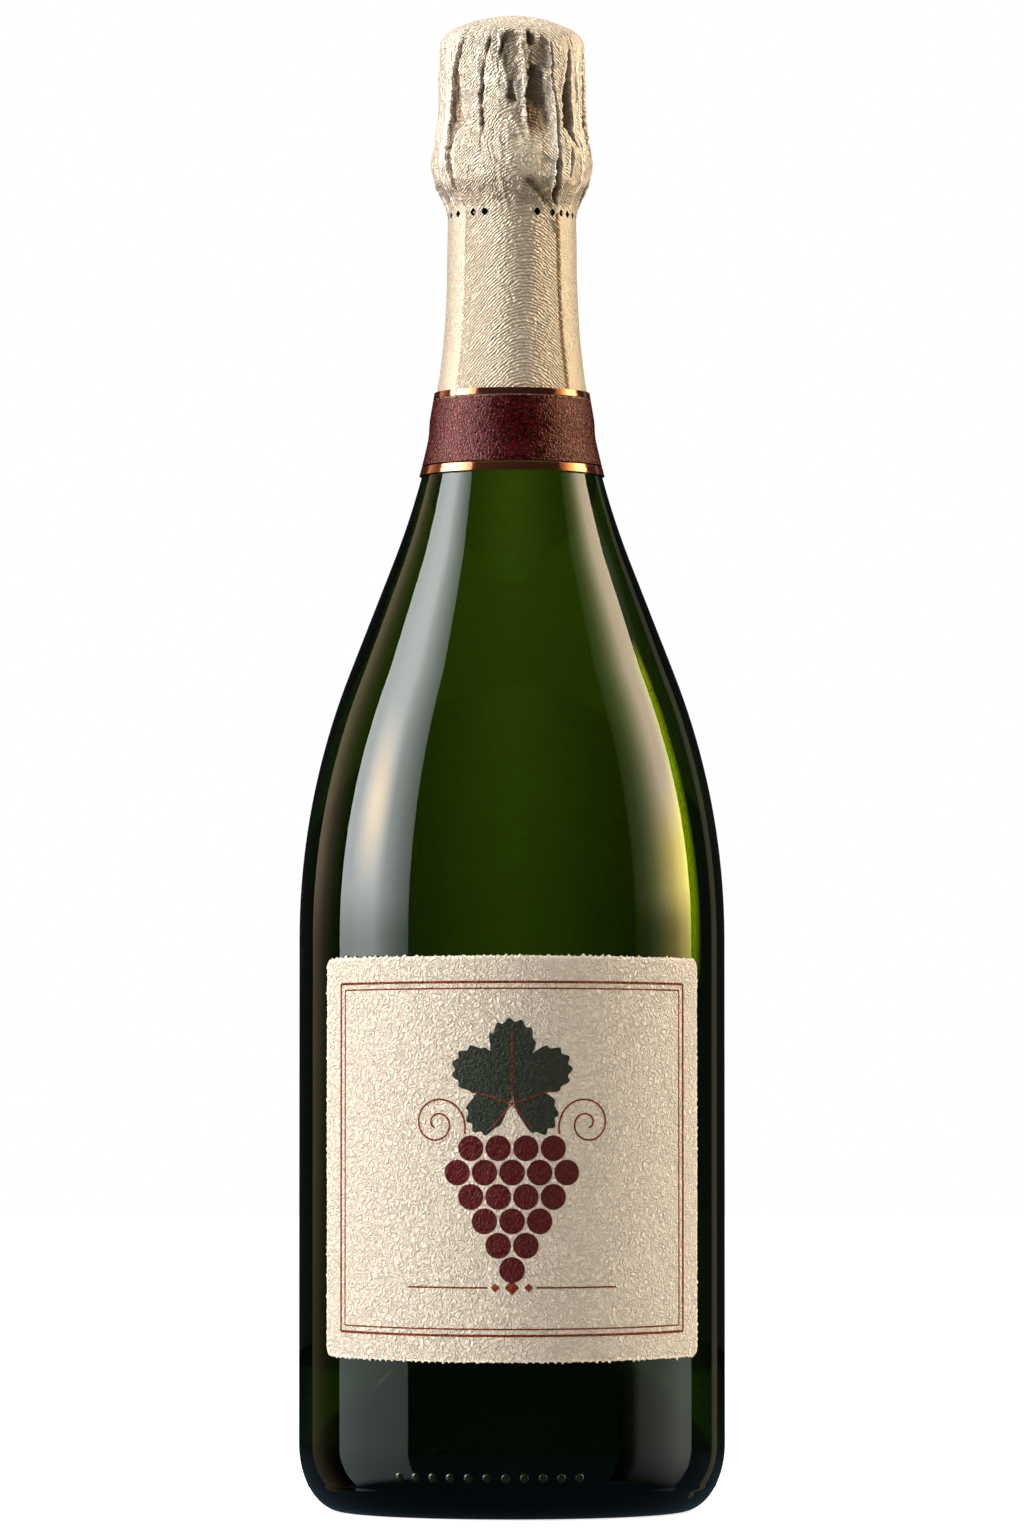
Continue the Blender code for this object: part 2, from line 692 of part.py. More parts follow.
def pleat_depth(degrees, height):
    """How far the pleats draw the crown in at this place."""
    top = CORNER_CENTRE_HEIGHT + HEAD_CORNER_RADIUS
    deepest = 0
    for middle, half_width, depth_share, low_share in PLEAT_SHARES:
        aside = abs((degrees - middle + 180) % 360 - 180) / half_width
        if aside >= 1:
            continue
        foot = between(CORNER_CENTRE_HEIGHT, TEAR_HEIGHT, low_share)
        fade = smooth((height - foot) / PLEAT_FADE) * smooth((top - height) / HEAD_CORNER_RADIUS)
        in_bulge = smooth((WAIST_HEIGHT - height) / PLEAT_FADE)
        share = depth_share * fade * between(1, PLEAT_BULGE_SHARE, in_bulge)
        deepest = max(deepest, PLEAT_DEPTH * share * (1 - aside))
    return deepest


def crown_columns():
    """Degrees of the crown's columns: both edges and the bottom of each pleat,
    and one between pleats that lie far apart."""
    edges = set()
    for middle, half_width, _, _ in PLEAT_SHARES:
        edges.update((middle - half_width, middle, middle + half_width))
    edges = sorted(edges)
    columns = []
    for start, end in zip(edges, edges[1:] + [edges[0] + 360]):
        parts_between = max(1, round((end - start) / COLUMN_DEGREES))
        columns += [between(start, end, index / parts_between) for index in range(parts_between)]
    return columns + [columns[0] + 360]


def make_tear_holes(cutters):
    """Diamond rods that pierce the foil along the tear line."""
    shape = bmesh.new()
    radius = foil_seat(TEAR_HEIGHT)
    length = 4 * FOIL + 2 * GAP
    for degrees in HOLE_DEGREES:
        place = (
            Matrix.Translation(around(radius + FOIL, degrees, TEAR_HEIGHT))
            @ Matrix.Rotation(math.radians(degrees - 90), 4, "Z")
            @ Matrix.Rotation(math.radians(90), 4, "Y")
        )
        bmesh.ops.create_cone(shape, cap_ends=True, segments=4, radius1=HOLE_SIZE / 2,
                              radius2=HOLE_SIZE / 2, depth=length, matrix=place)
    mesh = bpy.data.meshes.new("tear_holes")
    shape.to_mesh(mesh)
    shape.free()
    return as_cutter(new_object("tear_holes", mesh, cutters))


def make_capsule_crown(parts, holes, foil):
    """The upper foil: a grid wrapped on the crown's outline and pleated."""
    outline = crown_outline()
    columns = crown_columns()
    rows = len(outline) - 1
    shape = bmesh.new()
    bmesh.ops.create_grid(shape, x_segments=len(columns) - 1, y_segments=rows, size=1)
    for vert in shape.verts:
        column = round((vert.co.x + 1) / 2 * (len(columns) - 1))
        row = round((1 - vert.co.y) / 2 * rows)
        radius, height = outline[row]
        degrees = columns[column]
        depth = pleat_depth(degrees, height) if radius > HEAD_CORNER_REACH else 0
        vert.co = around(radius - depth, degrees, height)
    bmesh.ops.remove_doubles(shape, verts=shape.verts, dist=MERGE)
    bmesh.ops.recalc_face_normals(shape, faces=shape.faces)
    mesh = bpy.data.meshes.new("capsule_crown")
    shape.to_mesh(mesh)
    shape.free()
    mesh.shade_smooth()
    crown = new_object("capsule_crown", mesh, parts, foil)
    sheet = crown.modifiers.new("Foil", "SOLIDIFY")
    sheet.thickness = FOIL
    sheet.offset = -1
    sheet.use_even_offset = True
    boolean(crown, "DIFFERENCE", holes)
    return crown


def make_capsule_skirt(parts, holes, foil):
    """The foil that stays on the neck below the tear line."""
    top = TEAR_HEIGHT - TEAR_GAP / 2
    bottom = BAND_TOP - BAND_COVER
    skirt = sleeve("capsule_skirt", top, bottom, 4, foil_seat, FOIL, parts, foil)
    boolean(skirt, "DIFFERENCE", holes)
    return skirt


def band_seat(height):
    """Inside of the neck band: over the foil's end above, on the glass below."""
    foil_foot = BAND_TOP - BAND_COVER
    over_foil = smooth((height - foil_foot + BAND_COVER) / BAND_COVER)
    return OUTSIDE.radius(height) + GAP + (FOIL + GAP) * over_foil


def make_neck_band(parts):
    copper = new_material("copper_foil", (0.75, 0.38, 0.2), 0.25, metallic=1.0)
    burgundy = new_material("burgundy_paper", (0.12, 0.02, 0.025), 0.5)
    upper_foot = BAND_TOP - UPPER_EDGE
    lower_head = BAND_BOTTOM + LOWER_EDGE
    return [
        sleeve("neck_band_edge_upper", BAND_TOP, upper_foot, 1, band_seat, BAND_PAPER, parts, copper),
        sleeve("neck_band", upper_foot - GAP, lower_head + GAP, 2, band_seat, BAND_PAPER, parts, burgundy),
        sleeve("neck_band_edge_lower", lower_head, BAND_BOTTOM, 1, band_seat, BAND_PAPER, parts, copper),
    ]


def deckled_run(start, end, out):
    """A scalloped edge between two flat points; out is its outward direction."""
    start, end, out = Vector(start), Vector(end), Vector(out)
    count = max(1, round((end - start).length / DECKLE_PITCH))
    points = []
    for step in range(2 * count + 1):
        rise = DECKLE_DEPTH if step % 2 else 0
        points.append(start.lerp(end, step / (2 * count)) + out * rise)
    return points


def label_outline():
    """The label laid flat, as (across, height) points."""
    half = LABEL_WIDTH / 2
    inner = half - LABEL_CORNER
    low = LABEL_BOTTOM + LABEL_CORNER
    high = LABEL_TOP - LABEL_CORNER
    points = deckled_run((-inner, LABEL_BOTTOM), (inner, LABEL_BOTTOM), (0, -1))
    points += [Vector(p) for p in arc((inner, low), LABEL_CORNER, -90, 0, 3)[1:-1]]
    points += deckled_run((half, low), (half, high), (1, 0))
    points += [Vector(p) for p in arc((inner, high), LABEL_CORNER, 0, 90, 3)[1:-1]]
    points += deckled_run((inner, LABEL_TOP), (-inner, LABEL_TOP), (0, 1))
    points += [Vector(p) for p in arc((-inner, high), LABEL_CORNER, 90, 180, 3)[1:-1]]
    points += deckled_run((-half, high), (-half, low), (-1, 0))
    points += [Vector(p) for p in arc((-inner, low), LABEL_CORNER, 180, 270, 3)[1:-1]]
    return points


def make_front_label(parts):
    """A flat deckled sheet, bent onto the straight body and thickened outwards."""
    inner_radius = BODY_RADIUS + GAP
    shape = bmesh.new()
    shape.faces.new([shape.verts.new((across, 0, height)) for across, height in label_outline()])
    facet = 2 * math.pi / AROUND * inner_radius
    most = int(LABEL_WIDTH / 2 / facet)
    for index in range(-most, most + 1):
        everything = shape.verts[:] + shape.edges[:] + shape.faces[:]
        bmesh.ops.bisect_plane(shape, geom=everything, plane_co=(index * facet, 0, 0), plane_no=(1, 0, 0))
    bmesh.ops.remove_doubles(shape, verts=shape.verts, dist=DECKLE_DEPTH / 2)
    bmesh.ops.triangulate(shape, faces=shape.faces)
    front = bmesh.ops.extrude_face_region(shape, geom=shape.faces[:])["geom"]
    front = {item for item in front if isinstance(item, bmesh.types.BMVert)}
    for vert in shape.verts:
        radius = inner_radius + (LABEL_PAPER if vert in front else 0)
        vert.co = around(radius, math.degrees(vert.co.x / inner_radius), vert.co.z)
    bmesh.ops.recalc_face_normals(shape, faces=shape.faces)
    mesh = bpy.data.meshes.new("front_label")
    shape.to_mesh(mesh)
    shape.free()
    paper = new_material("label_paper", (0.72, 0.66, 0.56), 0.85)
    return new_object("front_label", mesh, parts, paper)


def main():
    for thing in list(bpy.data.objects):
        bpy.data.objects.remove(thing)
    parts = bpy.data.collections.new("sparkling_wine_bottle")
    cutters = bpy.data.collections.new("cutters")
    bpy.context.scene.collection.children.link(parts)
    bpy.context.scene.collection.children.link(cutters)
    cutters.hide_render = True

    steel = new_material("hood_steel", (0.6, 0.6, 0.6), 0.35, metallic=1.0)
    foil = new_material("capsule_foil", (0.78, 0.70, 0.56), 0.4, metallic=0.6)

    make_glass_bottle(parts, cutters)
    make_wine(parts)
    make_cork(parts)
    make_hood_cap(parts)
    make_hood_cage(parts, cutters, steel)
    make_hood_belt(parts, steel)
    holes = make_tear_holes(cutters)
    make_capsule_crown(parts, holes, foil)
    make_capsule_skirt(parts, holes, foil)
    make_neck_band(parts)
    make_front_label(parts)


if __name__ == "__main__":
    main()
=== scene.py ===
"""Sealed sparkling wine bottle, dressed over its CAD frame.

Each Operator makes one piece or one group of like pieces, from sizes and
colours that the sidebar panel shows. Metres, +Z up, the label faces -Y.
Angles run round from the front, towards +X. Outlines are (radius, height),
and the tables of folds and creases are in millimetres and degrees.
"""

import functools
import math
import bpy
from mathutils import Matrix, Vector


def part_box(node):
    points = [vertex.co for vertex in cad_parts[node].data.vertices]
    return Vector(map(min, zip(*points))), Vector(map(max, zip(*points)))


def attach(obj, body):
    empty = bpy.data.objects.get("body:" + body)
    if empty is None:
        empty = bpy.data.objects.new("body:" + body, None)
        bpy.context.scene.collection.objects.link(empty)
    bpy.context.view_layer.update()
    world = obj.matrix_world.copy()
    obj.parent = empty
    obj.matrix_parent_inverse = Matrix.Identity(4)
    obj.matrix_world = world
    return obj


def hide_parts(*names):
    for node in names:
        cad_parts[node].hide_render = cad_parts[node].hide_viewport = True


bl_info = {
    "name": "Sparkling Wine Bottle",
    "version": (1, 0, 0),
    "blender": (4, 5, 0),
    "location": "3D View > Sidebar > Bottle",
    "description": "Sealed sparkling wine bottle with a pleated foil capsule, wire hood, "
                   "neck band and label",
    "category": "Add Mesh",
}

import bmesh
import bpy
from bpy.props import FloatProperty, FloatVectorProperty, IntProperty, PointerProperty
from mathutils import Matrix, Vector, noise

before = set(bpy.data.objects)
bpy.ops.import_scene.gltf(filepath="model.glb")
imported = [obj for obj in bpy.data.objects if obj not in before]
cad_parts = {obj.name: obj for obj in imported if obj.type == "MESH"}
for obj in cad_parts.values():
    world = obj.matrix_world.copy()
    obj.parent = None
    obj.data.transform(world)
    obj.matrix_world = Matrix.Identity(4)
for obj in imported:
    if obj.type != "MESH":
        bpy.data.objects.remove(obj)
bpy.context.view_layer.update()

MM = 0.001
MERGE = 0.004 * MM


def top_of(node):
    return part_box(node)[1].z


def foot_of(node):
    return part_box(node)[0].z


# Glass: its body, the ring that the hood grips, and the chamfer of its mouth
MOUTH = top_of("glass_bottle")
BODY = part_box("glass_bottle")[1].x
RING_TOP, RING_FOOT, NECK_TOP = [MOUTH - drop * MM for drop in (11.5, 17.5, 19.1)]
CHAMFER = 0.7 * MM
SEAM_HEIGHT = 5.2 * MM
DOT_HEIGHT, DOT_FIRST, DOT_STEP, DOT_COUNT = 8.7 * MM, -31.7, 5, 11
FILL = top_of("wine")

# Cork and hood: the legs and the belt's loop stand at these degrees
HEAD_TOP = top_of("cork_body")
CLEAR = 0.2 * MM
LEGS = (-34, 56, 146, 236)
LEG_OUT, LEG_RADIUS = 1.1 * MM, 0.4 * MM
CAGE_RING = 7 * MM
LOOP = 17
LOOP_TWIST = 4.6 * MM

# Foil and papers
TEAR = (foot_of("capsule_crown") + top_of("capsule_skirt")) / 2
SKIRT_FOOT = foot_of("capsule_skirt")
SKIRT_OUT = 0.55 * MM
TEAR_REACH = 2.2 * MM
BAND_OUT, BAND_COVER = 0.3 * MM, 5 * MM
LABEL_HEAD = top_of("front_label") - 0.3 * MM
LABEL_FOOT = foot_of("front_label") + 0.3 * MM
LABEL_MIDDLE, LABEL_TALL = (LABEL_HEAD + LABEL_FOOT) / 2, (LABEL_HEAD - LABEL_FOOT) / 2
LABEL_FACE = -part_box("front_label")[0].y


def srgb(red, green, blue):
    """A colour read as 0-255 screen values, as linear light."""
    shares = [value / 255 for value in (red, green, blue)]
    return tuple(s / 12.92 if s <= 0.04045 else ((s + 0.055) / 1.055) ** 2.4 for s in shares)


def scaled(shade, share):
    """A colour made darker or lighter by this share, and never brighter than 1."""
    return tuple(min(1, part * share) for part in shade)


# Sizes and colours that a user would change

def length(name, description, default):
    return FloatProperty(name=name, description=description, default=default,
                         min=0, unit="LENGTH", precision=5)


def colour(name, description, default):
    return FloatVectorProperty(name=name, description=description, default=default,
                               size=3, min=0, max=1, subtype="COLOR")


class GlassSizes(bpy.types.PropertyGroup):
    shoulder: length("Shoulder Curve", "Radius of the long convex shoulder", 151.3 * MM)
    straight: length("Straight Run", "Straight run between the shoulder's two curves", 25 * MM)
    neck_curve: length("Neck Curve", "Radius of the concave curve into the neck", 170.6 * MM)
    neck: length("Neck Radius", "Outside radius at the foot of the neck", 13.05 * MM)
    neck_top: length("Neck Top Radius", "Outside radius under the ring", 12.75 * MM)
    neck_length: length("Neck Length", "Mouth to the foot of the neck", 36.1 * MM)
    heel: length("Heel Width", "How far in the rounded heel reaches", 9 * MM)
    heel_height: length("Heel Height", "Where the straight body ends", 14 * MM)
    wall: length("Wall", "Thickness of the body's wall", 5.3 * MM)
    punt: length("Punt", "Height of the hollow under the base", 31 * MM)
    bore: length("Bore Radius", "Inside radius of the mouth", 8.75 * MM)
    neck_bore: length("Neck Bore Radius", "Inside radius at the foot of the neck", 9.2 * MM)
    lip: length("Lip Radius", "Outside radius of the mouth", 13.2 * MM)
    ring: length("Ring Radius", "Outside radius of the ring that the hood grips", 14.4 * MM)
    seam: length("Heel Seam", "How far the base mould's seam stands out", 0.12 * MM)
    dot: length("Mould Dot", "Radius of each dot on the heel", 0.95 * MM)
    steps: IntProperty(name="Steps", description="Facets round the glass",
                       default=144, min=24, max=256)


class ClosureSizes(bpy.types.PropertyGroup):
    head_curve: length("Head Curve", "Radius of the cork's domed top", 26 * MM)
    corner_reach: length("Corner Reach", "Radius at which the head's corner is centred", 10.2 * MM)
    corner: length("Corner Radius", "Rounding of the head's corner", 3 * MM)
    wire: length("Wire", "Diameter of one strand of a leg", 0.56 * MM)
    belt_wire: length("Belt Wire", "Diameter of the belt wire", 0.7 * MM)
    twist: length("Leg Twist", "Length of one full twist of a leg", 4.4 * MM)


class CapsuleSizes(bpy.types.PropertyGroup):
    foil: length("Foil", "Thickness of the foil", 0.25 * MM)
    fold: length("Fold Depth", "Depth of the deepest fold", 1.35 * MM)
    ridge: length("Ridge Rise", "Rise of the sharpest ridge", 0.45 * MM)
    crumple: length("Crumple", "Height of the broad unevenness of the foil", 0.24 * MM)
    hole: length("Tear Hole", "Width of a hole in the tear line", 1.65 * MM)
    columns: IntProperty(name="Columns", description="Facets round the capsule",
                         default=380, min=90, max=400)


class PaperSizes(bpy.types.PropertyGroup):
    width: length("Label Width", "Width of the label laid flat", 90.5 * MM)
    corner: length("Label Corner", "Radius of the label's corners", 1.7 * MM)
    deckle: length("Deckle", "Depth of the torn edge", 1.0 * MM)
    paper: length("Paper", "Thickness of label and band", 0.25 * MM)
    ink: length("Ink", "Height of the print", 0.03 * MM)
    berry: length("Berry", "Radius of a printed berry", 2.6 * MM)
    leaf: length("Leaf", "Radius of the printed leaf", 12.5 * MM)


class BottleColours(bpy.types.PropertyGroup):
    glass: colour("Glass", "Tint that each face of the glass gives", (0.55, 0.68, 0.3))
    glass_depth: colour("Glass Depth", "What the body of the glass lets through", (0.41, 0.5, 0.03))
    wine: colour("Wine", "Tint of the wine", (0.98, 0.93, 0.75))
    foil: colour("Foil", "Champagne foil", srgb(220, 203, 177))
    # Painted shade: the brown that the folds and the emboss's hollows are painted towards
    foil_fold_shade: colour("Foil Folds", "Bottom of the folds", srgb(92, 58, 26))
    burgundy: colour("Burgundy", "Neck band", srgb(70, 9, 9))
    copper: colour("Copper", "Edges of the neck band", srgb(222, 132, 98))
    paper: colour("Paper", "Label", srgb(225, 209, 187))
    ink_burgundy: colour("Burgundy Ink", "Berries", srgb(72, 8, 6))
    ink_green: colour("Green Ink", "Leaf", srgb(38, 44, 36))
    ink_copper: colour("Copper Ink", "Rules, stalk and veins", srgb(112, 44, 16))
    cork: colour("Cork", "Cork granules", srgb(196, 154, 110))
    tin: colour("Tin", "Lacquered cap", srgb(214, 190, 140))
    steel: colour("Steel", "Wire", srgb(190, 190, 188))


class StageSettings(bpy.types.PropertyGroup):
    distance: length("Distance", "Camera to the bottle's axis", 1.628)
    eye: length("Eye Level", "Height of the camera", 0.0858)
    tilt: FloatProperty(name="Tilt", description="How far the camera looks up",
                        default=math.radians(2.415), subtype="ANGLE")
    lens: FloatProperty(name="Lens", description="Focal length in millimetres",
                        default=183.0, min=1)
    key: FloatProperty(name="Key", description="Left soft box, watts", default=19.8, min=0)
    fill: FloatProperty(name="Fill", description="Front fill, watts", default=1.4, min=0)
    rim: FloatProperty(name="Right", description="Right soft box, watts", default=13.5, min=0)
    top: FloatProperty(name="Top", description="Overhead light, watts", default=6.5, min=0)
    ambient: FloatProperty(name="Ambient", description="Even light from all sides",
                           default=0.25, min=0)


# Shader maths as Python expressions

class Value:
    """One output socket of a finish, with the arithmetic that its patterns use."""

    def __init__(self, finish, socket):
        self.finish = finish
        self.socket = socket

    def maths(self, operation, *values):
        kind = "ShaderNodeMath"
        if self.socket.type == "VECTOR":
            kind = "ShaderNodeVectorMath"
            values = [(v, v, v) if isinstance(v, (int, float)) else v for v in values]
        return self.finish.node(kind, {"operation": operation}, enumerate(values))

    def __add__(self, other):
        return self.maths("ADD", self, other)

    def __sub__(self, other):
        return self.maths("SUBTRACT", self, other)

    def __rsub__(self, other):
        return self.maths("SUBTRACT", other, self)

    def __mul__(self, other):
        return self.maths("MULTIPLY", self, other)

    def __truediv__(self, other):
        return self.maths("DIVIDE", self, other)

    def __pow__(self, other):
        return self.maths("POWER", self, other)

    __radd__ = __add__
    __rmul__ = __mul__

    def __abs__(self):
        return self.maths("ABSOLUTE", self)

    def sine(self):
        return self.maths("SINE", self)

    def cosine(self):
        return self.maths("COSINE", self)


class Finish:
    """A material on one Principled shader, built up node by node."""

    def __init__(self, name, **constants):
        self.material = bpy.data.materials.new(name)
        self.material.use_nodes = True
        self.tree = self.material.node_tree
        self.shader = self.tree.nodes["Principled BSDF"]
        self.set(**constants)

    def feed(self, socket, value):
        if isinstance(value, Value):
            self.tree.links.new(value.socket, socket)
        elif socket.type == "RGBA":
            socket.default_value = (*value, 1.0)
        else:
            socket.default_value = value

    def set(self, **values):
        """Values or links of the shader's own sockets, as base_color=..., roughness=..."""
        for name, value in values.items():
            title = name.replace("_", " ").title().replace("Ior", "IOR")
            self.feed(self.shader.inputs[title], value)

    def node(self, kind, settings=(), values=(), output=0):
        made = self.tree.nodes.new(kind)
        for name, value in dict(settings).items():
            if name == "stops":
                ramp = made.color_ramp.elements
                while len(ramp) < len(value):
                    ramp.new(1)
                for stop, (place, shade) in zip(ramp, value):
                    stop.position = place
                    stop.color = (*shade, 1)
            else:
                setattr(made, name, value)
        for name, value in dict(values).items():
            self.feed(made.inputs[name], value)
        return Value(self, made.outputs[output])

    def place(self, stretch=(1, 1, 1)):
        """Object coordinates, stretched per axis."""
        spot = self.node("ShaderNodeTexCoord", output="Object")
        if stretch == (1, 1, 1):
            return spot
        return spot * self.node("ShaderNodeCombineXYZ", (), enumerate(stretch))

    def part(self, name):
        """One object coordinate, X, Y or Z."""
        return self.node("ShaderNodeSeparateXYZ", (), {0: self.place()}, name)

    def away(self, centre=(0, 0, 0)):
        """Distance from a point."""
        return self.node("ShaderNodeVectorMath", {"operation": "DISTANCE"},
                         {0: self.place(), 1: centre}, "Value")

    def attribute(self, name):
        return self.node("ShaderNodeAttribute", {"attribute_name": name}, output="Fac")

    def noise(self, size, detail=2, rough=0.5, distortion=0, spot=None):
        """Soft noise from 0 to 1, of this size in metres."""
        return self.node("ShaderNodeTexNoise", {"noise_dimensions": "3D"}, {
            "Vector": spot or self.place(), "Scale": 1 / size, "Detail": detail,
            "Roughness": rough, "Distortion": distortion})

    def cells(self, size, feature="F1", output="Distance"):
        """Cells of this size in metres."""
        return self.node("ShaderNodeTexVoronoi", {"feature": feature},
                         {"Vector": self.place(), "Scale": 1 / size}, output)

    def ramp(self, value, *stops):
        """Greys or colours at places from 0 to 1."""
        stops = [(place, (s, s, s) if isinstance(s, (int, float)) else s) for place, s in stops]
        return self.node("ShaderNodeValToRGB", {"stops": stops}, {0: value})

    def level(self, value, low, high):
        """0 at low, 1 at high, clamped."""
        return self.node("ShaderNodeMapRange", {"clamp": True},
                         {"Value": value, "From Min": low, "From Max": high})

    def mix(self, share, first, second):
        """The first colour at share 0, the second at 1."""
        return self.node("ShaderNodeMix", {"data_type": "RGBA"}, {0: share, 6: first, 7: second}, 2)

    def bump(self, height, distance, strength=1.0, under=None):
        values = {"Height": height, "Distance": distance, "Strength": strength}
        if under:
            values["Normal"] = under
        return self.node("ShaderNodeBump", (), values)


# Outlines

def arc(centre, radius, start, end, count):
    angles = [math.radians(start + (end - start) * step / count) for step in range(count + 1)]
    return [(centre[0] + radius * math.cos(a), centre[1] + radius * math.sin(a)) for a in angles]


def bezier(start, pull_start, pull_end, end, count):
    points = []
    for step in range(count + 1):
        t = step / count
        weights = ((1 - t) ** 3, 3 * t * (1 - t) ** 2, 3 * t * t * (1 - t), t ** 3)
        pulls = list(zip(weights, (start, pull_start, pull_end, end)))
        points.append(tuple(sum(weight * point[axis] for weight, point in pulls) for axis in (0, 1)))
    return points


def between(low, high, share):
    return low + (high - low) * share


def smooth(share):
    share = min(max(share, 0), 1)
    return share * share * (3 - 2 * share)


def offset(points, distance):
    """The outline moved to its right-hand side, as seen along its direction."""
    moved = []
    for before, point, after in zip(points[:1] + points, points, points[1:] + points[-1:]):
        along = (Vector(after) - Vector(before)).normalized()
        moved.append((point[0] + along.y * distance, point[1] - along.x * distance))
    return moved


def along_table(table, place):
    """Straight-line reading of (place, value, value...) rows that run downwards."""
    for (high, *upper), (low, *lower) in zip(table, table[1:]):
        if place >= low:
            share = (high - place) / (high - low)
            return [between(a, b, share) for a, b in zip(upper, lower)]
    return list(table[-1][1:])


def around(radius, degrees, height):
    angle = math.radians(degrees)
    return Vector((radius * math.sin(angle), -radius * math.cos(angle), height))


def aside(one, other):
    """Degrees from the other direction to this one, from -180 to 180."""
    return (one - other + 180) % 360 - 180


def apart(one, other):
    """Unsigned degrees between two directions."""
    return abs(aside(one, other))


def degrees_of(place):
    """Degrees round from the front at which this place stands."""
    return math.degrees(math.atan2(place.x, -place.y))


class Side:
    """A bottle's side: straight body, shoulder arc, straight run, neck arc, neck."""

    def __init__(self, sizes, wall, neck, top_radius, top):
        self.neck_foot = MOUTH - sizes.neck_length
        self.body, self.shoulder = BODY - wall, sizes.shoulder - wall
        self.neck, self.curve = neck, sizes.neck_curve + wall
        self.top_radius, self.top = top_radius, top
        arcs = self.shoulder + self.curve
        across = arcs + neck - self.body
        up = math.sqrt(arcs ** 2 + sizes.straight ** 2 - across ** 2)
        self.body_top = self.neck_foot - up
        self.touch = math.atan2(up, across) - math.atan2(sizes.straight, arcs)
        self.line_top = self.neck_foot - self.curve * math.sin(self.touch)
        self.line_foot = self.body_top + self.shoulder * math.sin(self.touch)

    def outline(self, count):
        touch = math.degrees(self.touch)
        neck = arc((self.neck + self.curve, self.neck_foot), self.curve, 180, 180 + touch, count)
        return neck + arc((self.body - self.shoulder, self.body_top), self.shoulder, touch, 0, count)

    def radius(self, height):
        if height >= self.neck_foot:
            share = (height - self.neck_foot) / (self.top - self.neck_foot)
            return between(self.neck, self.top_radius, share)
        if height >= self.line_top:
            rise = self.neck_foot - height
            return self.neck + self.curve - math.sqrt(self.curve ** 2 - rise ** 2)
        if height >= self.line_foot:
            foot = self.body - self.shoulder + self.shoulder * math.cos(self.touch)
            return foot - (height - self.line_foot) * math.tan(self.touch)
        if height >= self.body_top:
            rise = height - self.body_top
            return self.body - self.shoulder + math.sqrt(self.shoulder ** 2 - rise ** 2)
        return self.body


def outer_side(sizes):
    return Side(sizes, 0, sizes.neck, sizes.neck_top, NECK_TOP)


def inner_side(sizes):
    return Side(sizes, sizes.wall, sizes.neck_bore, sizes.bore, RING_TOP)


# Making pieces

def turned(outline, steps, closed=False):
    """The outline turned about the Z axis, as a bmesh."""
    shape = bmesh.new()
    points = [shape.verts.new((radius, 0, height)) for radius, height in outline]
    edges = [shape.edges.new(pair) for pair in zip(points, points[1:])]
    if closed:
        edges.append(shape.edges.new((points[-1], points[0])))
    bmesh.ops.spin(shape, geom=points + edges, axis=(0, 0, 1), cent=(0, 0, 0), dvec=(0, 0, 0),
                   angle=math.tau, steps=steps, use_merge=True)
    bmesh.ops.remove_doubles(shape, verts=shape.verts, dist=MERGE)
    bmesh.ops.recalc_face_normals(shape, faces=shape.faces)
    return shape


def outwards(shape):
    """Turns an open shell's faces away from the axis."""
    shape.normal_update()
    level = Vector((1, 1, 0))
    if sum(face.normal.dot(face.calc_center_median() * level) for face in shape.faces) < 0:
        bmesh.ops.reverse_faces(shape, faces=shape.faces)
    return shape


def in_scene(name, data):
    """A new object for a mesh, a curve, a lamp or a camera."""
    thing = bpy.data.objects.new(name, data)
    bpy.context.scene.collection.objects.link(thing)
    return thing


def from_shape(name, shape, material):
    """A new object from a bmesh, which is freed."""
    mesh = bpy.data.meshes.new(name)
    shape.to_mesh(mesh)
    shape.free()
    mesh.materials.append(material)
    return in_scene(name, mesh)


def piece(name, shape, finish, body, nodes=(), sharp=40):
    """A finished piece from a bmesh, riding on its body."""
    thing = from_shape(name, shape, finish.material)
    thing.data.shade_smooth()
    thing.data.set_sharp_from_angle(angle=math.radians(sharp))
    if nodes:
        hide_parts(*nodes)
    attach(thing, body)
    return thing


def thick(thing, thickness, side=-1.0, sharp=60):
    """Gives a shell its thickness, with crisp rims. Side -1 is inwards, 1 outwards."""
    wall = thing.modifiers.new("Thickness", "SOLIDIFY")
    wall.thickness = thickness
    wall.offset = side
    wall.use_even_offset = True
    graph = bpy.context.evaluated_depsgraph_get()
    shell = thing.data
    thing.data = bpy.data.meshes.new_from_object(thing.evaluated_get(graph))
    thing.modifiers.clear()
    bpy.data.meshes.remove(shell)
    thing.data.set_sharp_from_angle(angle=math.radians(sharp))
    return thing


def wires(paths, diameter):
    """Round wires along (points, closed) paths, as one bmesh."""
    curve = bpy.data.curves.new("wires", "CURVE")
    curve.dimensions = "3D"
    curve.bevel_depth = diameter / 2
    curve.bevel_resolution = 2
    curve.use_fill_caps = True
    for points, closed in paths:
        spline = curve.splines.new("POLY")
        spline.points.add(len(points) - 1)
        for place, point in zip(spline.points, points):
            place.co = (*point, 1)
        spline.use_cyclic_u = closed
    holder = in_scene("wires", curve)
    graph = bpy.context.evaluated_depsgraph_get()
    mesh = bpy.data.meshes.new_from_object(holder.evaluated_get(graph))
    shape = bmesh.new()
    shape.from_mesh(mesh)
    bmesh.ops.remove_doubles(shape, verts=shape.verts, dist=MERGE)
    bmesh.ops.recalc_face_normals(shape, faces=shape.faces)
    bpy.data.objects.remove(holder)
    bpy.data.curves.remove(curve)
    bpy.data.meshes.remove(mesh)
    return shape


# Glass and wine

def heel_at(sizes, height):
    """Radius of the rounded heel at this height, and how far its face leans down."""
    drop = 1 - height / sizes.heel_height
    across = math.sqrt(1 - drop * drop)
    lean = math.atan2(drop / sizes.heel_height, across / sizes.heel)
    return BODY - sizes.heel * (1 - across), lean


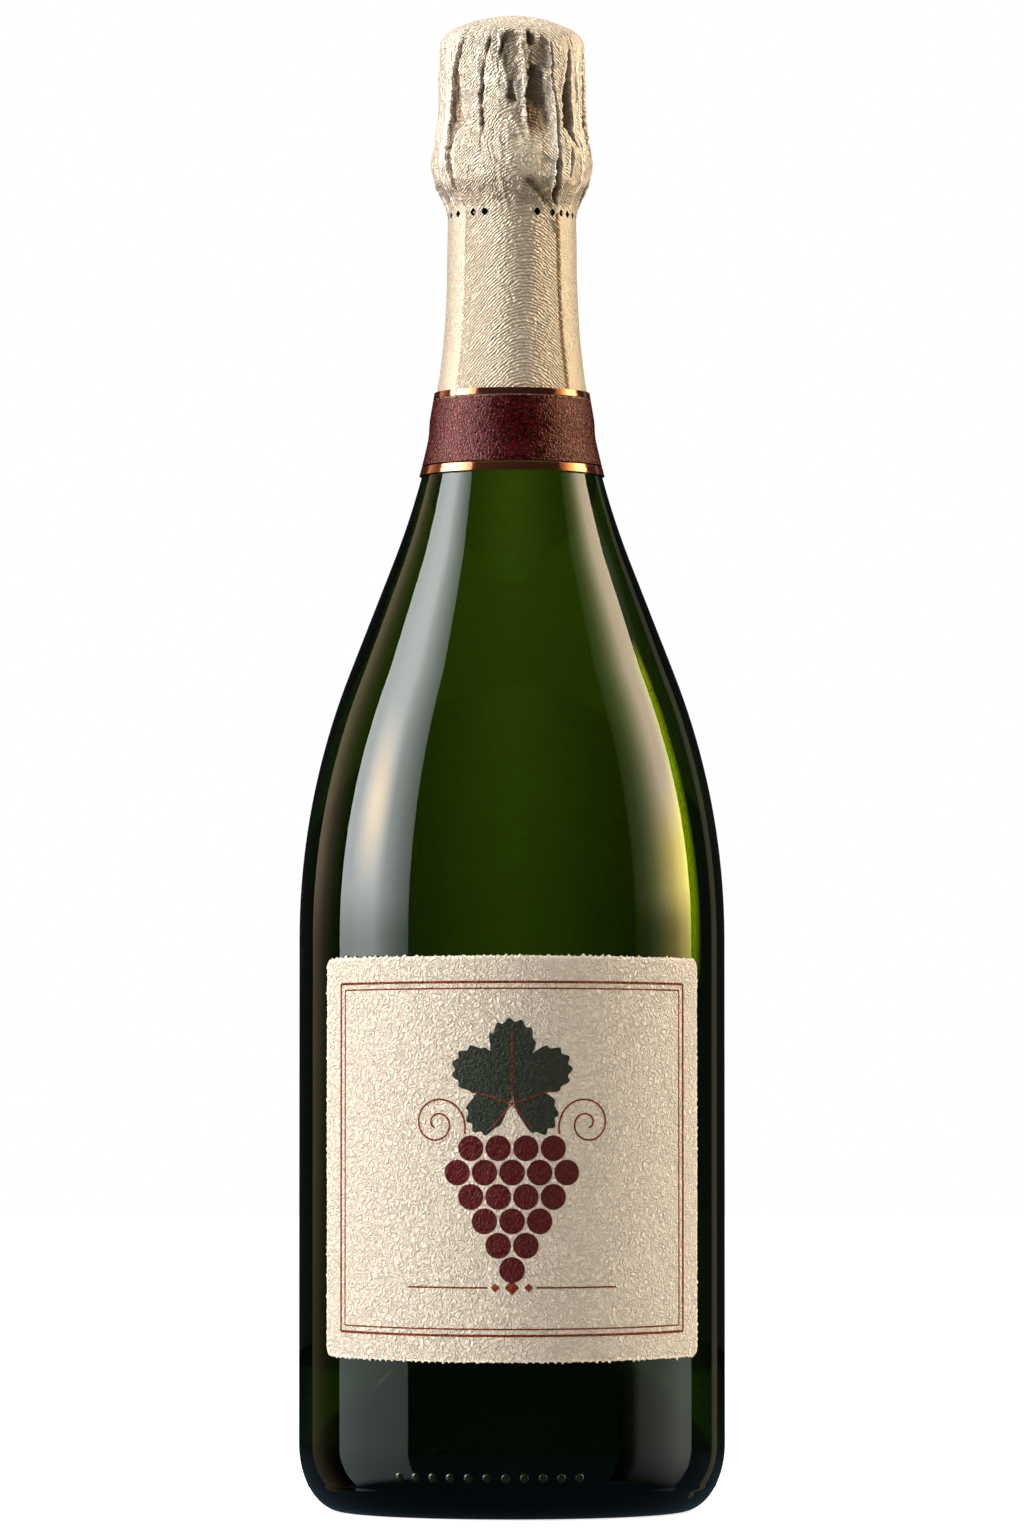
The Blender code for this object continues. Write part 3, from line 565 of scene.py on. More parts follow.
def heel_outline(sizes):
    """Down round the elliptical heel, with the base mould's seam standing out."""
    steps = 24
    heights = [sizes.heel_height * (1 - math.sin(math.pi / 2 * step / steps)) for step in range(steps + 1)]
    rows = [(height, 0) for height in heights if abs(height - SEAM_HEIGHT) > 0.6 * MM]
    rows += [(SEAM_HEIGHT + 0.45 * MM, 0), (SEAM_HEIGHT, sizes.seam), (SEAM_HEIGHT - 0.45 * MM, 0)]
    return [(heel_at(sizes, height)[0] + out, height) for height, out in sorted(rows, reverse=True)]


def inside_outline(sizes):
    """From the middle of the inner floor, over the punt and up to the mouth."""
    inside = inner_side(sizes)
    inner = inside.body
    corner_round, thick_base = 6 * MM, 8 * MM
    valley = (inner - corner_round, 8.5 * MM)
    peak = sizes.punt + thick_base
    floor = bezier((0, peak), (valley[0] * 0.62, peak),
                   (valley[0] * 0.88, between(valley[1], peak, 0.3)), valley, 14)
    turn = (inner, valley[1] + corner_round)
    corner = bezier(valley, (between(valley[0], inner, 0.5), valley[1]),
                    (inner, between(valley[1], turn[1], 0.4)), turn, 6)
    bore = [(sizes.bore, RING_TOP), (sizes.bore, MOUTH - CHAMFER), (sizes.bore + CHAMFER, MOUTH)]
    return floor[:-1] + corner + inside.outline(10)[::-1] + bore


def finish_outline(sizes):
    """Down over the lip, the groove under it and the ring that the hood grips."""
    lip_round, ring_round, groove = 1.2 * MM, 1.1 * MM, 12.3 * MM
    ring_in = sizes.ring - ring_round
    return (
        arc((sizes.lip - lip_round, MOUTH - lip_round), lip_round, 90, 0, 6)
        + [(sizes.lip, MOUTH - 6 * MM), (groove, MOUTH - 6.6 * MM), (groove, MOUTH - 8.6 * MM)]
        + arc((ring_in, RING_TOP - ring_round), ring_round, 75, 0, 5)
        + arc((ring_in, RING_FOOT + ring_round), ring_round, 0, -80, 5)
        + [(sizes.neck_top, NECK_TOP)]
    )


def glass_outline(sizes):
    """The whole wall: up the inside, over the mouth, down the outside and up the punt."""
    heel = heel_outline(sizes)
    foot_flat, foot_round = 1.7 * MM, 1.5 * MM
    bearing = heel[-1][0] - foot_flat
    foot = [(bearing, 0)] + arc((bearing - foot_round, 0), foot_round, 0, 90, 3)[1:-1]
    start = (bearing - foot_round, foot_round)
    punt = bezier(start, (start[0] * 0.86, sizes.punt * 0.45),
                  (start[0] * 0.5, sizes.punt), (0, sizes.punt), 16)
    outside = finish_outline(sizes) + outer_side(sizes).outline(20)
    return inside_outline(sizes) + outside + heel + foot + punt


def glass_finish(colours):
    glass = Finish("green_glass", base_color=colours.glass, roughness=0.0, transmission_weight=1.0, ior=1.5)
    waves = glass.noise(26 * MM, 1, spot=glass.place((1, 1, 0.45)))
    glass.set(normal=glass.bump(waves, 0.25 * MM, 0.08))
    depth = glass.tree.nodes.new("ShaderNodeVolumeAbsorption")
    glass.feed(depth.inputs["Color"], colours.glass_depth)
    glass.feed(depth.inputs["Density"], 500)
    glass.tree.links.new(depth.outputs[0], glass.tree.nodes["Material Output"].inputs["Volume"])
    return glass


class ADD_OT_glass(bpy.types.Operator):
    """Thick moulded glass with a punt, a heel seam and a row of mould dots"""
    bl_idname = "wine_bottle.add_glass"
    bl_label = "Add Glass"

    def execute(self, context):
        sizes, colours = context.scene.bottle_glass, context.scene.bottle_colours
        shape = turned(glass_outline(sizes), sizes.steps)
        finish = glass_finish(colours)
        piece("bottle_glass", shape, finish, "bottle", ["glass_bottle"], 50)
        dots = bmesh.new()
        radius, lean = heel_at(sizes, DOT_HEIGHT)
        low_dome = Matrix.Diagonal((0.5 * MM, sizes.dot, sizes.dot, 1))
        for index in range(DOT_COUNT):
            degrees = DOT_FIRST + DOT_STEP * index
            turn = Matrix.Rotation(math.radians(degrees - 90), 4, "Z") @ Matrix.Rotation(lean, 4, "Y")
            place = Matrix.Translation(around(radius, degrees, DOT_HEIGHT))
            bmesh.ops.create_icosphere(dots, subdivisions=3, radius=1, matrix=place @ turn @ low_dome)
        shell = Finish("mould_dots", base_color=scaled(colours.glass_depth, 0.02), roughness=0.08,
                       specular_ior_level=0.8)
        shell.set(normal=shell.bump(shell.noise(0.6 * MM, 1), 0.05 * MM, 0.5))
        piece("mould_dots", dots, shell, "bottle", ())
        return {"FINISHED"}


class ADD_OT_wine(bpy.types.Operator):
    """The wine, up to its fill level in the neck"""
    bl_idname = "wine_bottle.add_wine"
    bl_label = "Add Wine"

    def execute(self, context):
        sizes, shade = context.scene.bottle_glass, context.scene.bottle_colours.wine
        overlap = 0.02 * MM
        outline = offset(inside_outline(sizes), overlap)
        outline[0] = (0, outline[0][1])
        wetted = [point for point in outline if point[1] < FILL]
        edge = inner_side(sizes).radius(FILL) + overlap
        meniscus = ((1.6, 0), (0.6, 0.25), (0, 0.9))
        surface = [(0, FILL)] + [(edge - back * MM, FILL + rise * MM) for back, rise in meniscus]
        finish = Finish("wine", roughness=0.0, transmission_weight=1.0, ior=1.34)
        finish.set(base_color=finish.mix(finish.noise(40 * MM, 1), shade, scaled(shade, 0.97)))
        piece("wine_fill", turned(surface + wetted[::-1], 96), finish, "bottle", ["wine"], 50)
        return {"FINISHED"}


# Cork and wire hood

def dome_height(sizes, radius, out):
    return HEAD_TOP - sizes.head_curve + math.sqrt((sizes.head_curve + out) ** 2 - radius ** 2)


def corner_centre(sizes):
    rise = math.sqrt((sizes.head_curve - sizes.corner) ** 2 - sizes.corner_reach ** 2)
    return (sizes.corner_reach, HEAD_TOP - sizes.head_curve + rise)


def head_corner(sizes, out, end, count):
    """Round the head's corner, from the dome down to this many degrees up from level."""
    centre = corner_centre(sizes)
    top = math.degrees(math.atan2(centre[1] - HEAD_TOP + sizes.head_curve, centre[0]))
    return arc(centre, sizes.corner + out, top, end, count)


def head_outline(sizes, out, count, end=0):
    """Over the dome and round the corner, at this distance out from the cork."""
    radii = [step * sizes.corner_reach / count for step in range(count)]
    dome = [(radius, dome_height(sizes, radius, out)) for radius in radii]
    return dome + head_corner(sizes, out, end, count)


def cork_finish(colours, name, granule):
    """Pressed granules of this size, or natural cork with its pores where it is 0."""
    cork = Finish(name, roughness=0.85)
    shade, light = scaled(colours.cork, 0.42), scaled(colours.cork, 1.35)
    if granule:
        grain = cork.ramp(cork.cells(granule, output="Color"),
                          (0.1, shade), (0.45, colours.cork), (0.9, light))
        edges = cork.cells(granule, "DISTANCE_TO_EDGE")
        fine = cork.noise(granule * 0.35, 3)
        cork.set(base_color=cork.mix(cork.level(edges, 0.0, 0.12), shade, grain),
                 normal=cork.bump(cork.level(edges, 0.0, 0.2) + fine * 0.5, 0.25 * MM, 0.7))
    else:
        pores = cork.noise(1.4 * MM, 4, 0.6, spot=cork.place((1, 1, 0.35)))
        cork.set(base_color=cork.mix(cork.level(pores, 0.36, 0.6), shade, colours.cork),
                 normal=cork.bump(pores, 0.3 * MM, 0.6))
    return cork


class ADD_OT_cork(bpy.types.Operator):
    """Mushroom cork of pressed granules, with two natural discs glued under it"""
    bl_idname = "wine_bottle.add_cork"
    bl_label = "Add Cork"

    def execute(self, context):
        sizes, colours = context.scene.bottle_closure, context.scene.bottle_colours
        bulge, under_round, ease = 0.3 * MM, 1.6 * MM, 0.3 * MM
        across, level = corner_centre(sizes)
        wide = across + sizes.corner + bulge
        head_foot = MOUTH + 0.3 * MM
        shank = context.scene.bottle_glass.bore - CLEAR
        foot = foot_of("cork_body")
        outline = (
            head_outline(sizes, 0, 8)
            + bezier((wide - bulge, level), (wide, level - 2 * MM),
                     (wide, head_foot + 4 * MM), (wide, head_foot + under_round), 6)[1:]
            + arc((wide - under_round, head_foot + under_round), under_round, 0, -90, 5)[1:]
            + [(shank + CHAMFER, head_foot), (shank, MOUTH - CHAMFER), (shank, foot + ease),
               (shank - ease, foot), (0, foot)]
        )
        pressed = cork_finish(colours, "agglomerate_cork", 2.1 * MM)
        piece("cork_granulated", turned(outline, 96), pressed, "cork", ["cork_body"])
        natural = cork_finish(colours, "natural_cork", 0)
        for node in ("cork_disc_upper", "cork_disc_lower"):
            high, low, ease = top_of(node), foot_of(node), 0.25 * MM
            disc = [(0, high), (shank - ease, high), (shank, high - ease), (shank, low + ease),
                    (shank - ease, low), (0, low)]
            piece(node + "_natural", turned(disc, 96), natural, "cork", [node])
        return {"FINISHED"}


def belt_seat(sizes, glass):
    """Radius and height of the belt wire under the ring, and the radius of the hooks round it."""
    hook = sizes.belt_wire / 2 + CLEAR + LEG_RADIUS
    reach = CLEAR + hook + LEG_RADIUS
    return glass.neck_top + reach, RING_FOOT - reach, hook


def leg_line(sizes, glass):
    """Middle line of a leg as (radius, height) points, from the top ring to its hook."""
    over = [(radius, dome_height(sizes, radius, LEG_OUT)) for radius in (CAGE_RING, CAGE_RING + 1.6 * MM)]
    corner = head_corner(sizes, LEG_OUT, 0, 8)
    clear = glass.ring + 0.6 * MM
    down = [(corner[-1][0], MOUTH + 0.5 * MM), (clear, RING_TOP), (clear, RING_FOOT)]
    belt_radius, belt_height, hook = belt_seat(sizes, glass)
    return over + corner + down + arc((belt_radius, belt_height), hook, 0, -250, 12)


def walked(line, pitch):
    """Points at an even pitch along the line, with the distance walked."""
    spots, travelled = [(Vector(line[0]), 0.0)], 0.0
    for start, end in zip(map(Vector, line), map(Vector, line[1:])):
        span = (end - start).length
        count = max(1, round(span / pitch))
        for step in range(1, count + 1):
            spots.append((start.lerp(end, step / count), travelled + span * step / count))
        travelled += span
    return spots


def twisted_ring(sizes):
    """The two strands of the ring on the cap, twisted together."""
    level, strand = dome_height(sizes, CAGE_RING, LEG_OUT), 0.22 * MM
    steps, steps_per_twist = 120, 12
    paths = []
    for phase in (0, math.pi):
        points = []
        for step in range(steps):
            turn = step / steps_per_twist * math.tau + phase
            points.append(around(CAGE_RING + strand * math.cos(turn), 360 / steps * step,
                                 level + strand * math.sin(turn)))
        paths.append((points, True))
    return paths


def twisted_leg(sizes, glass, degrees):
    """The two strands of a leg, twisted together."""
    spots = walked(leg_line(sizes, glass), 0.55 * MM)
    neighbours = list(zip(spots[:1] + spots, spots, spots[1:] + spots[-1:]))
    strand = sizes.wire / 2 * 0.9
    paths = []
    for phase in (0, math.pi):
        points = []
        for (before, _), (spot, walk), (after, _) in neighbours:
            ahead = (after - before).normalized()
            turn = phase + walk / sizes.twist * math.tau
            out, side = math.cos(turn) * strand, math.sin(turn) * strand
            radius, height = spot.x - ahead.y * out, spot.y + ahead.x * out
            points.append(around(radius, degrees + math.degrees(side / max(radius, 1 * MM)), height))
        paths.append((points, False))
    return paths


def belt_line(sizes, glass):
    """Round the neck, up one twisted strand, over the loop and down the other."""
    strand = sizes.belt_wire / 2 + 0.06 * MM
    twist_radius = glass.ring + CLEAR + strand + sizes.belt_wire / 2
    foot = RING_FOOT - sizes.belt_wire / 2
    belt_radius, belt_height, _ = belt_seat(sizes, glass)
    lead, belt_steps, steps = 9, 96, 24
    half_wide, tall = 2.7 * MM, 6.6 * MM
    sweep = (360 - 2 * lead) / belt_steps
    belt = [around(belt_radius, LOOP + lead + sweep * step, belt_height) for step in range(belt_steps + 1)]

    def strand_point(side, share):
        turn = math.pi * 3 * share
        radius = twist_radius + side * strand * math.sin(turn)
        aslant = math.degrees(-side * strand * math.cos(turn) / twist_radius)
        return around(radius, LOOP + aslant, foot + LOOP_TWIST * share)

    loop = []
    lean_in = corner_centre(sizes)[0] + sizes.corner + 1.5 * MM
    for step in range(1, steps):
        angle = math.tau * step / steps
        rise = (1 - math.cos(angle)) / 2
        lean = along_table(((1, 0), (0.35, 0.55), (0, 1)), rise)[0]
        radius = between(lean_in, twist_radius, lean)
        across = half_wide * math.sin(angle) * between(0.75, 1, rise)
        height = foot + LOOP_TWIST + strand + tall * rise
        loop.append(around(radius, LOOP + math.degrees(across / radius), height))
    up = [strand_point(1, step / steps) for step in range(steps + 1)]
    down = [strand_point(-1, 1 - step / steps) for step in range(steps + 1)]
    return belt + up + loop + down


def metal_finish(name, shade, mottle, dark, roughness, dents, metallic=1.0):
    """Mottled metal.

    mottle is a noise's (size, detail), dark (share, darkening), roughness (least,
    spread) and dents (size, depth, strength).
    """
    metal = Finish(name, metallic=metallic)
    spots = metal.noise(*mottle)
    metal.set(base_color=metal.mix(spots * dark[0], shade, scaled(shade, dark[1])),
              roughness=spots * roughness[1] + roughness[0],
              normal=metal.bump(metal.noise(dents[0], 2), *dents[1:]))
    return metal


def cap_relief(radius):
    """Rise of the cap's middle button and of the groove round it."""
    button = 0.45 * MM * smooth((4.6 * MM - radius) / (1.6 * MM))
    return button - 0.16 * MM * math.exp(-((radius - 7.2 * MM) / (0.5 * MM)) ** 2)


class ADD_OT_hood(bpy.types.Operator):
    """Lacquered metal cap, twisted wire cage and the belt with its twisted loop"""
    bl_idname = "wine_bottle.add_hood"
    bl_label = "Add Hood"

    def execute(self, context):
        scene = context.scene
        sizes, glass, colours = scene.bottle_closure, scene.bottle_glass, scene.bottle_colours
        outer, inner = [[(radius, height + cap_relief(radius))
                         for radius, height in head_outline(sizes, out, 12, 35)]
                        for out in (0.5 * MM, 0.2 * MM)]
        tin = metal_finish("cap_tinplate", colours.tin, (0.5 * MM, 3), (0.3, 0.75), (0.22, 0.12),
                           (3 * MM, 0.05 * MM, 0.4))
        piece("hood_cap_lacquered", turned(outer + inner[::-1], 96, True), tin, "hood",
              ["hood_cap"])
        steel = metal_finish("hood_steel", colours.steel, (1.2 * MM, 3), (1, 0.7), (0.22, 0.25),
                             (0.25 * MM, 0.02 * MM, 0.5))
        paths = twisted_ring(sizes)
        for degrees in LEGS:
            paths += twisted_leg(sizes, glass, degrees)
        piece("hood_cage_twisted", wires(paths, sizes.wire), steel, "hood", ["hood_cage"], 60)
        belt = wires([(belt_line(sizes, glass), True)], sizes.belt_wire)
        piece("hood_belt_wire", belt, steel, "hood", ["hood_belt"], 60)
        return {"FINISHED"}


# Foil capsule. A fold or ridge is its painted shade (how dark its hollow is painted),
# then rows of height, degrees round from the front, half width in degrees and share of the full depth.

FOLDS = (
    (.6, (307, -40, 1, .3), (304, -45, 2, .8), (301, -49, 3, .9), (298.4, -50, 4, .9), (293.6, -49.5, 6, 1),
     (289, -48.5, 8, 1), (287.7, -49, 7.5, .9), (285.6, -52.4, 5, .8), (282.9, -53.7, 3.4, .8),
     (280.3, -51.7, 3, .8), (276.3, -51.5, 2.6, .8), (274.6, -51, 2, .4)),
    (.55, (306.2, -17.6, 1, .3), (305.2, -18, 2, .7), (303.6, -19.4, 2, .6), (302, -21.5, 1.2, .15),
     (297.8, -24, 1.4, .6), (294, -24, 2.2, .8), (292.2, -24.2, 1.6, .5), (291.4, -24.4, 1, .2),
     (290.4, -24, 2, .7), (287.6, -23, 2.2, .6), (285.5, -22, 1, 0)),
    (.75, (306.2, -7.6, 1.2, .7), (303.6, -7.8, 1.5, .9), (301.8, -9, 1, .2)),
    (.5, (307.1, -1.4, 6, .5), (306.6, -1.4, 7.4, 1), (305.3, -1.2, 7.4, .95), (304.4, -1.2, 7, .45),
     (301, -.5, 6.4, .4), (297.4, 1.4, 4.4, .25), (295.8, -1.4, 2.6, .8), (293, .2, 4.2, .9),
     (292.4, .4, 3.4, .2)),
    (.8, (307, 14, 3.2, .5), (306.4, 14.6, 3.6, 1), (304.9, 15.4, 3.6, .9), (304.3, 15.6, 3.4, .4)),
    (.5, (305.8, 24, 4.5, .3), (304.8, 24, 5.5, .45), (301.4, 21, 9, .4), (300, 20.5, 9, .45)),
    (.7, (300.1, 19, 6.4, .4), (299.7, 18.6, 6.6, 1), (296, 18.4, 6.6, 1), (292, 19, 8, 1),
     (288.4, 19.4, 8.6, .8), (286.4, 19, 8, .45), (284.6, 18, 6, .1)),
    (.85, (304.4, 32.4, .8, .3), (302, 33.4, 1, .7), (298, 33, 1, .6), (294, 35.2, 1.3, .7),
     (290, 36.8, 1.4, .8), (286, 37, 1.6, .9), (282, 36, 1.6, .8), (279, 35.6, 2.6, .9),
     (276, 36.5, 3, .8), (273.5, 39, 3.4, .7), (271.5, 41, 2.6, .3)),
    (1, (306.9, 53.4, .8, .4), (306.2, 53.4, 1.4, 1), (305, 55.6, 1.3, 1), (304.6, 56, 1, .2)),
    (.85, (303.8, 51.2, 1.4, .4), (302, 51, 2.2, .9), (298, 50.4, 3.2, 1),
     (294.6, 48.6, 5, 1), (289, 48, 6, 1), (287.4, 48.6, 5.4, 1), (285.8, 51.4, 2.4, .8),
     (284, 55.4, 1.2, .5)),
    (1, (304, 76, 2, .8), (298, 76, 3.4, .9), (294.6, 76, 6.4, 1), (289, 75, 7.4, 1), (285.5, 76, 6.4, .9),
     (282.5, 79, 3, .4)),
    (.9, (283.2, 48.6, .9, .4), (281.5, 48.4, 1.3, 1), (278.5, 48.6, 1.3, 1), (277.2, 48.8, .9, .3)),
    (1, (277, 80, 2, .5), (275.2, 79, 5, 1), (273.2, 82, 5.5, 1), (271.6, 86, 4, .7), (270.7, 88, 2, .3)),
    (.6, (275.2, -80, 1.4, .5), (274.4, -80, 2.2, 1), (271.9, -78, 1.8, .9), (271, -77, 1, .3)),
    (.8, (274.5, -61.4, .8, .4), (273.6, -61.2, 1.4, 1), (272.2, -60.2, 1.4, .9), (271.4, -59.4, .8, .2)),
    (.7, (272, -47.4, .7, .5), (271.3, -46, .9, .9), (270.8, -45, .7, .2)),
    (.5, (306, -68, 1.5, .3), (301, -70, 2, .4), (295, -73, 2, .3), (289, -74, 2.4, .4), (285, -72, 2, .3)),
    (.8, (306, 98, 2, .5), (300, 97, 4, .9), (292, 96, 6, 1), (286, 97, 5, .8), (279, 99, 2, .5),
     (273, 101, 2, .3)),
    (.6, (306, 117, 3, .6), (298, 118, 6, .9), (290, 116, 7, 1), (285, 117, 5, .5)),
    (.8, (306, 134, 1.5, .4), (297, 133, 3, .8), (289, 134, 5, .9), (281, 133, 3, .8), (275, 131, 3, .7),
     (271, 128, 2, .4)),
    (.6, (306.4, 162, 7, .9), (305, 162, 7, 1), (301, 163, 8, .6), (300, 163, 8, 1), (293, 162, 8, 1),
     (287, 161, 6, .7), (284, 160, 4, .2)),
    (.8, (306, 183, 1.5, .5), (298, 184, 3, .8), (290, 185, 5, 1), (282, 184, 3, .7), (275, 186, 3, .8),
     (271, 188, 2, .4)),
    (.6, (306, 203, 3, .6), (297, 204, 6, .9), (289, 205, 7, 1), (285, 206, 4, .5)),
    (.8, (306, 222, 1.5, .4), (298, 221, 3, .8), (290, 222, 4, .9), (280, 224, 2.5, .7), (273, 228, 3, .7),
     (270.8, 231, 2, .4)),
    (.6, (306, 250, 6, .7), (300, 250, 8, .9), (292, 251, 7, 1), (286, 250, 5, .6), (284, 249, 3, .2)),
    (.8, (306, 269, 2, .5), (299, 268, 4, .8), (290, 268, 5, .9), (283, 267, 3, .5), (276, 266, 3, .6),
     (271, 264, 2, .4)),
)
RIDGES = (
    (0, (307, 8, 1.8, .9), (304, 7, 2, 1), (300, 9, 2, 1), (295, 9.6, 2, 1), (288, 9.4, 2.2, 1),
     (285.5, 10.6, 1.6, .2)),
    (0, (303.4, -27.6, 1.6, .7), (299, -27.8, 1.6, 1), (297, -27.8, 1.4, .2)),
    (0, (304, 31, 2.4, .6), (295, 32.6, 5, 1), (286, 33.5, 6, 1.2), (277, 33, 6, 1.2), (275, 31, 3, .4)),
    (0, (305, -60, 2, .7), (290, -61, 2.5, .8), (276, -62, 2, .6), (272, -64, 2, .3)),
    (0, (305, 64, 2.5, .7), (290, 62, 3, .8), (276, 63, 2.5, .7), (271, 62, 2, .3)),
)
# Creases that run across the foil: rise and half width, then (degrees, height)
# points
STROKES = (
    (-0.3, 1.2, (-52, 276.5), (-36, 275.6), (-20, 276.2), (-4, 275.5), (10, 276.1), (22, 275.6),
     (29, 276.4)),
    (0.5, 0.5, (6.2, 276.3), (15.7, 274), (23.6, 271.7), (32.8, 269.8), (40.5, 267.9), (43, 265.8)),
    (-0.8, 1.3, (12, 275.6), (22, 273.9), (31, 271.8), (38, 270)),
    (0.25, 0.5, (27, 276.6), (31, 275), (35, 272.6)),
    (-0.2, 0.5, (-31, 305.6), (-27, 303)),
    (0.22, 0.4, (-14, 307), (-17.5, 304), (-16, 301)),
    (0.3, 0.35, (-9.4, 306.4), (-1, 307.5), (7, 307.2)),
    (0.3, 0.3, (18.4, 306), (27, 305), (32, 302)),
    (0.3, 0.3, (12, 301.4), (18, 299.9), (25, 299.7)),
    (0.28, 0.25, (12.4, 300.2), (12.8, 296)),
    (0.16, 0.5, (-40, 297), (-26, 296)),
    (-0.16, 0.4, (-38, 301), (-28, 299.6)),
    (0.2, 0.35, (-8, 302.4), (-15, 300.4)),
    (0.18, 0.35, (-3, 300.6), (2, 297.2)),
    (0.25, 0.3, (-3.4, 291.4), (.6, 288.8)),
    (0.25, 0.3, (-1.6, 291.8), (2.6, 289.4)),
    (0.14, 0.5, (-20, 286.2), (4, 285.2), (24, 286.4)),
    (0.25, 0.3, (23.6, 281.4), (31, 279.9), (38, 280.4)),
    (0.2, 0.4, (-40, 274.8), (-34, 271.6)),
    (0.2, 0.4, (-27, 275.2), (-31, 271.4)),
    (-0.18, 0.6, (62, 279.5), (72, 281), (84, 279.6)),
    (-0.3, 0.4, (56, 277.2), (64, 278.4), (70, 277.6)),
    (-0.25, 0.3, (62, 277), (66, 278.8)),
    (0.2, 0.5, (52, 290), (58, 286), (63, 283)),
    (-0.25, 0.35, (43, 306.6), (46, 305.4), (49, 306.4)),
    (-0.28, 0.7, (85, 275.5), (130, 275), (176, 275.3)),
    (-0.28, 0.7, (190, 275.2), (240, 274.9), (290, 275.4)),
    (0.35, 0.5, (150, 276), (164, 272), (182, 267)),
    (0.35, 0.5, (236, 276), (226, 272.5), (214, 267)),
    (0.2, 0.5, (96, 304), (108, 300), (112, 296)),
    (-0.2, 0.5, (208, 302), (220, 300)),
)
# Height at which the domed top of the crown gives way to its side
DOME_FOOT = 307
# Grooves pressed down the skirt: degrees at the top, turn to the foot, half width
GROOVES = ((-45, -2, 1.1), (44.5, 3.5, 2.3), (135, 2, 1.6), (225, -2, 1.6))
# Radius of what the crown covers, above each height
CORES = ((303, 13.85), (295.9, 13.65), (284.4, 13.35), (277.6, 14.6), (275.8, 14.8), (0, 13.1))
# Radius of the crown's outer side before it is folded, from the head's corner down
CROWN_SIDE = (
    (299, 15.25), (294, 15.3), (292, 15.5), (289, 15.7), (286.4, 15.95), (285, 16.15), (284, 16.4),
    (283, 16.6), (281.5, 16.77), (279.7, 16.77), (278, 16.5), (276.5, 16.2), (275.5, 15.8),
    (274.7, 15.25), (273.8, 14.75), (273, 14.3), (272.2, 13.95), (270.9, 13.65), (TEAR / MM, 13.44),
)
# Degrees round from the front of each hole in the tear line
TEAR_HOLES = (-71, -57, -37, -25, 23, 39, 50, 59.5, 70.5, 84, 97, 110, 123, 136,
              149, 162, 175, 188, 201, 214, 227, 240, 253, 266, 278)


@functools.lru_cache(maxsize=None)
def creases_at(height):
    """(degrees, half width, share, painted shade) of the folds and the ridges that cross this height.

    Their tops narrow to an arch.
    """
    found = []
    head_ease, foot_ease = 0.4, 0.8
    for group in (FOLDS, RIDGES):
        rows = []
        for shade, *table in group:
            top, foot = table[0][0], table[-1][0]
            below, above = top + head_ease - height, height - foot + foot_ease
            if below > 0 and above > 0:
                degrees, half, share = along_table(table, min(max(height, foot), top))
                arched = min(1, 0.45 + below / 2.6)
                fade = smooth(below / head_ease) * smooth(above / foot_ease)
                rows.append((degrees, half * arched, share * fade, shade))
        found.append(rows)
    return found


@functools.lru_cache(maxsize=None)
def strokes_at(height):
    """The crossing creases whose heights come near this one."""
    near = []
    for rise, half, *points in STROKES:
        heights = [z for _, z in points]
        if min(heights) - half < height < max(heights) + half:
            near.append((rise, half, points))
    return near


def crossing(degrees, height, radius):
    """Rise of the crossing creases at this place, in millimetres."""
    total = 0
    per_degree = math.tau * radius / MM / 360
    for rise, half, points in strokes_at(height):
        nearest = half
        for (d1, z1), (d2, z2) in zip(points, points[1:]):
            start = Vector((aside(d1, degrees) * per_degree, z1 - height))
            along = Vector(((d2 - d1) * per_degree, z2 - z1))
            share = min(max(-start.dot(along) / along.length_squared, 0), 1)
            nearest = min(nearest, (start + along * share).length)
        total += rise * (1 - nearest / half) ** 1.3
    return total


def creased(degrees, height, spot):
    """Shares of fold depth, ridge rise and painted fold shade at this place."""
    sunk = raised = painted_fold_shade = 0
    wander = noise.noise(spot * 420) * 1.5 + noise.noise(spot * 1100) * 1.8
    folds, ridges = creases_at(round(height + noise.noise(spot * 700) * 0.5, 1))
    lip = 2.4
    for middle, half, share, shade in folds:
        within = half * 1.05 - apart(degrees + wander * min(1, half / 3), middle)
        if within > 0:
            here = share * smooth(within / min(1.5, half * 0.6))
            sunk = max(sunk, here)
            # Painted shade: a fold's left side is painted darker and its right side lighter, as the key
            # light comes from the left
            lit = 1.15 - 0.5 * smooth((aside(degrees, middle) / half + 0.4) / 1.4)
            painted_fold_shade = max(painted_fold_shade, shade * min(1, here * 1.8) * lit)
        elif within > -lip:
            raised = max(raised, 0.45 * share * (1 + within / lip))
    for middle, half, share, _ in ridges:
        away = apart(degrees + wander * 0.4, middle) / half
        if away < 1:
            raised = max(raised, share * (1 - away) ** 1.3)
    return sunk, raised * (1 - sunk), painted_fold_shade


def room_inside(degrees, height, radius, foil):
    """How far the foil can be pushed in here before it meets what it covers."""
    inside, free = radius - foil, 2 * MM
    room = inside - next(core for low, core in CORES if height > low) * MM
    if height > 275:
        reach = 15.1 if height > 293 else 15.6
        leg = min(apart(degrees, place) for place in LEGS)
        room = min(room, between(inside - reach * MM, free, smooth((leg - 1.6) / 2.6)))
    if 277 < height < 294:
        reach = between(15.2, 16.3, smooth((290 - height) / 8)) - 1.6 * smooth((height - 290) / 4)
        room = min(room, between(inside - reach * MM, free, smooth((apart(degrees, LOOP) - 10) / 4)))
    return max(room, 0)


def crown_outline(closure):
    """The foil's outer side from its top to the tear line."""
    fall = head_outline(closure, 2 * MM, 9)
    rows = ((corner_centre(closure)[1] / MM, 15.2), *CROWN_SIDE)
    top, foot, count = rows[0][0], rows[-1][0], 112
    side = []
    for step in range(1, count + 1):
        height = between(top, foot, step / count)
        # Rounded where two rows of the table meet
        near = [min(max(height + shift, foot), top) for shift in (-0.35, 0, 0.35)]
        radius = sum(along_table(rows, place)[0] for place in near) / len(near)
        side.append((radius * MM, height * MM))
    return fall + side


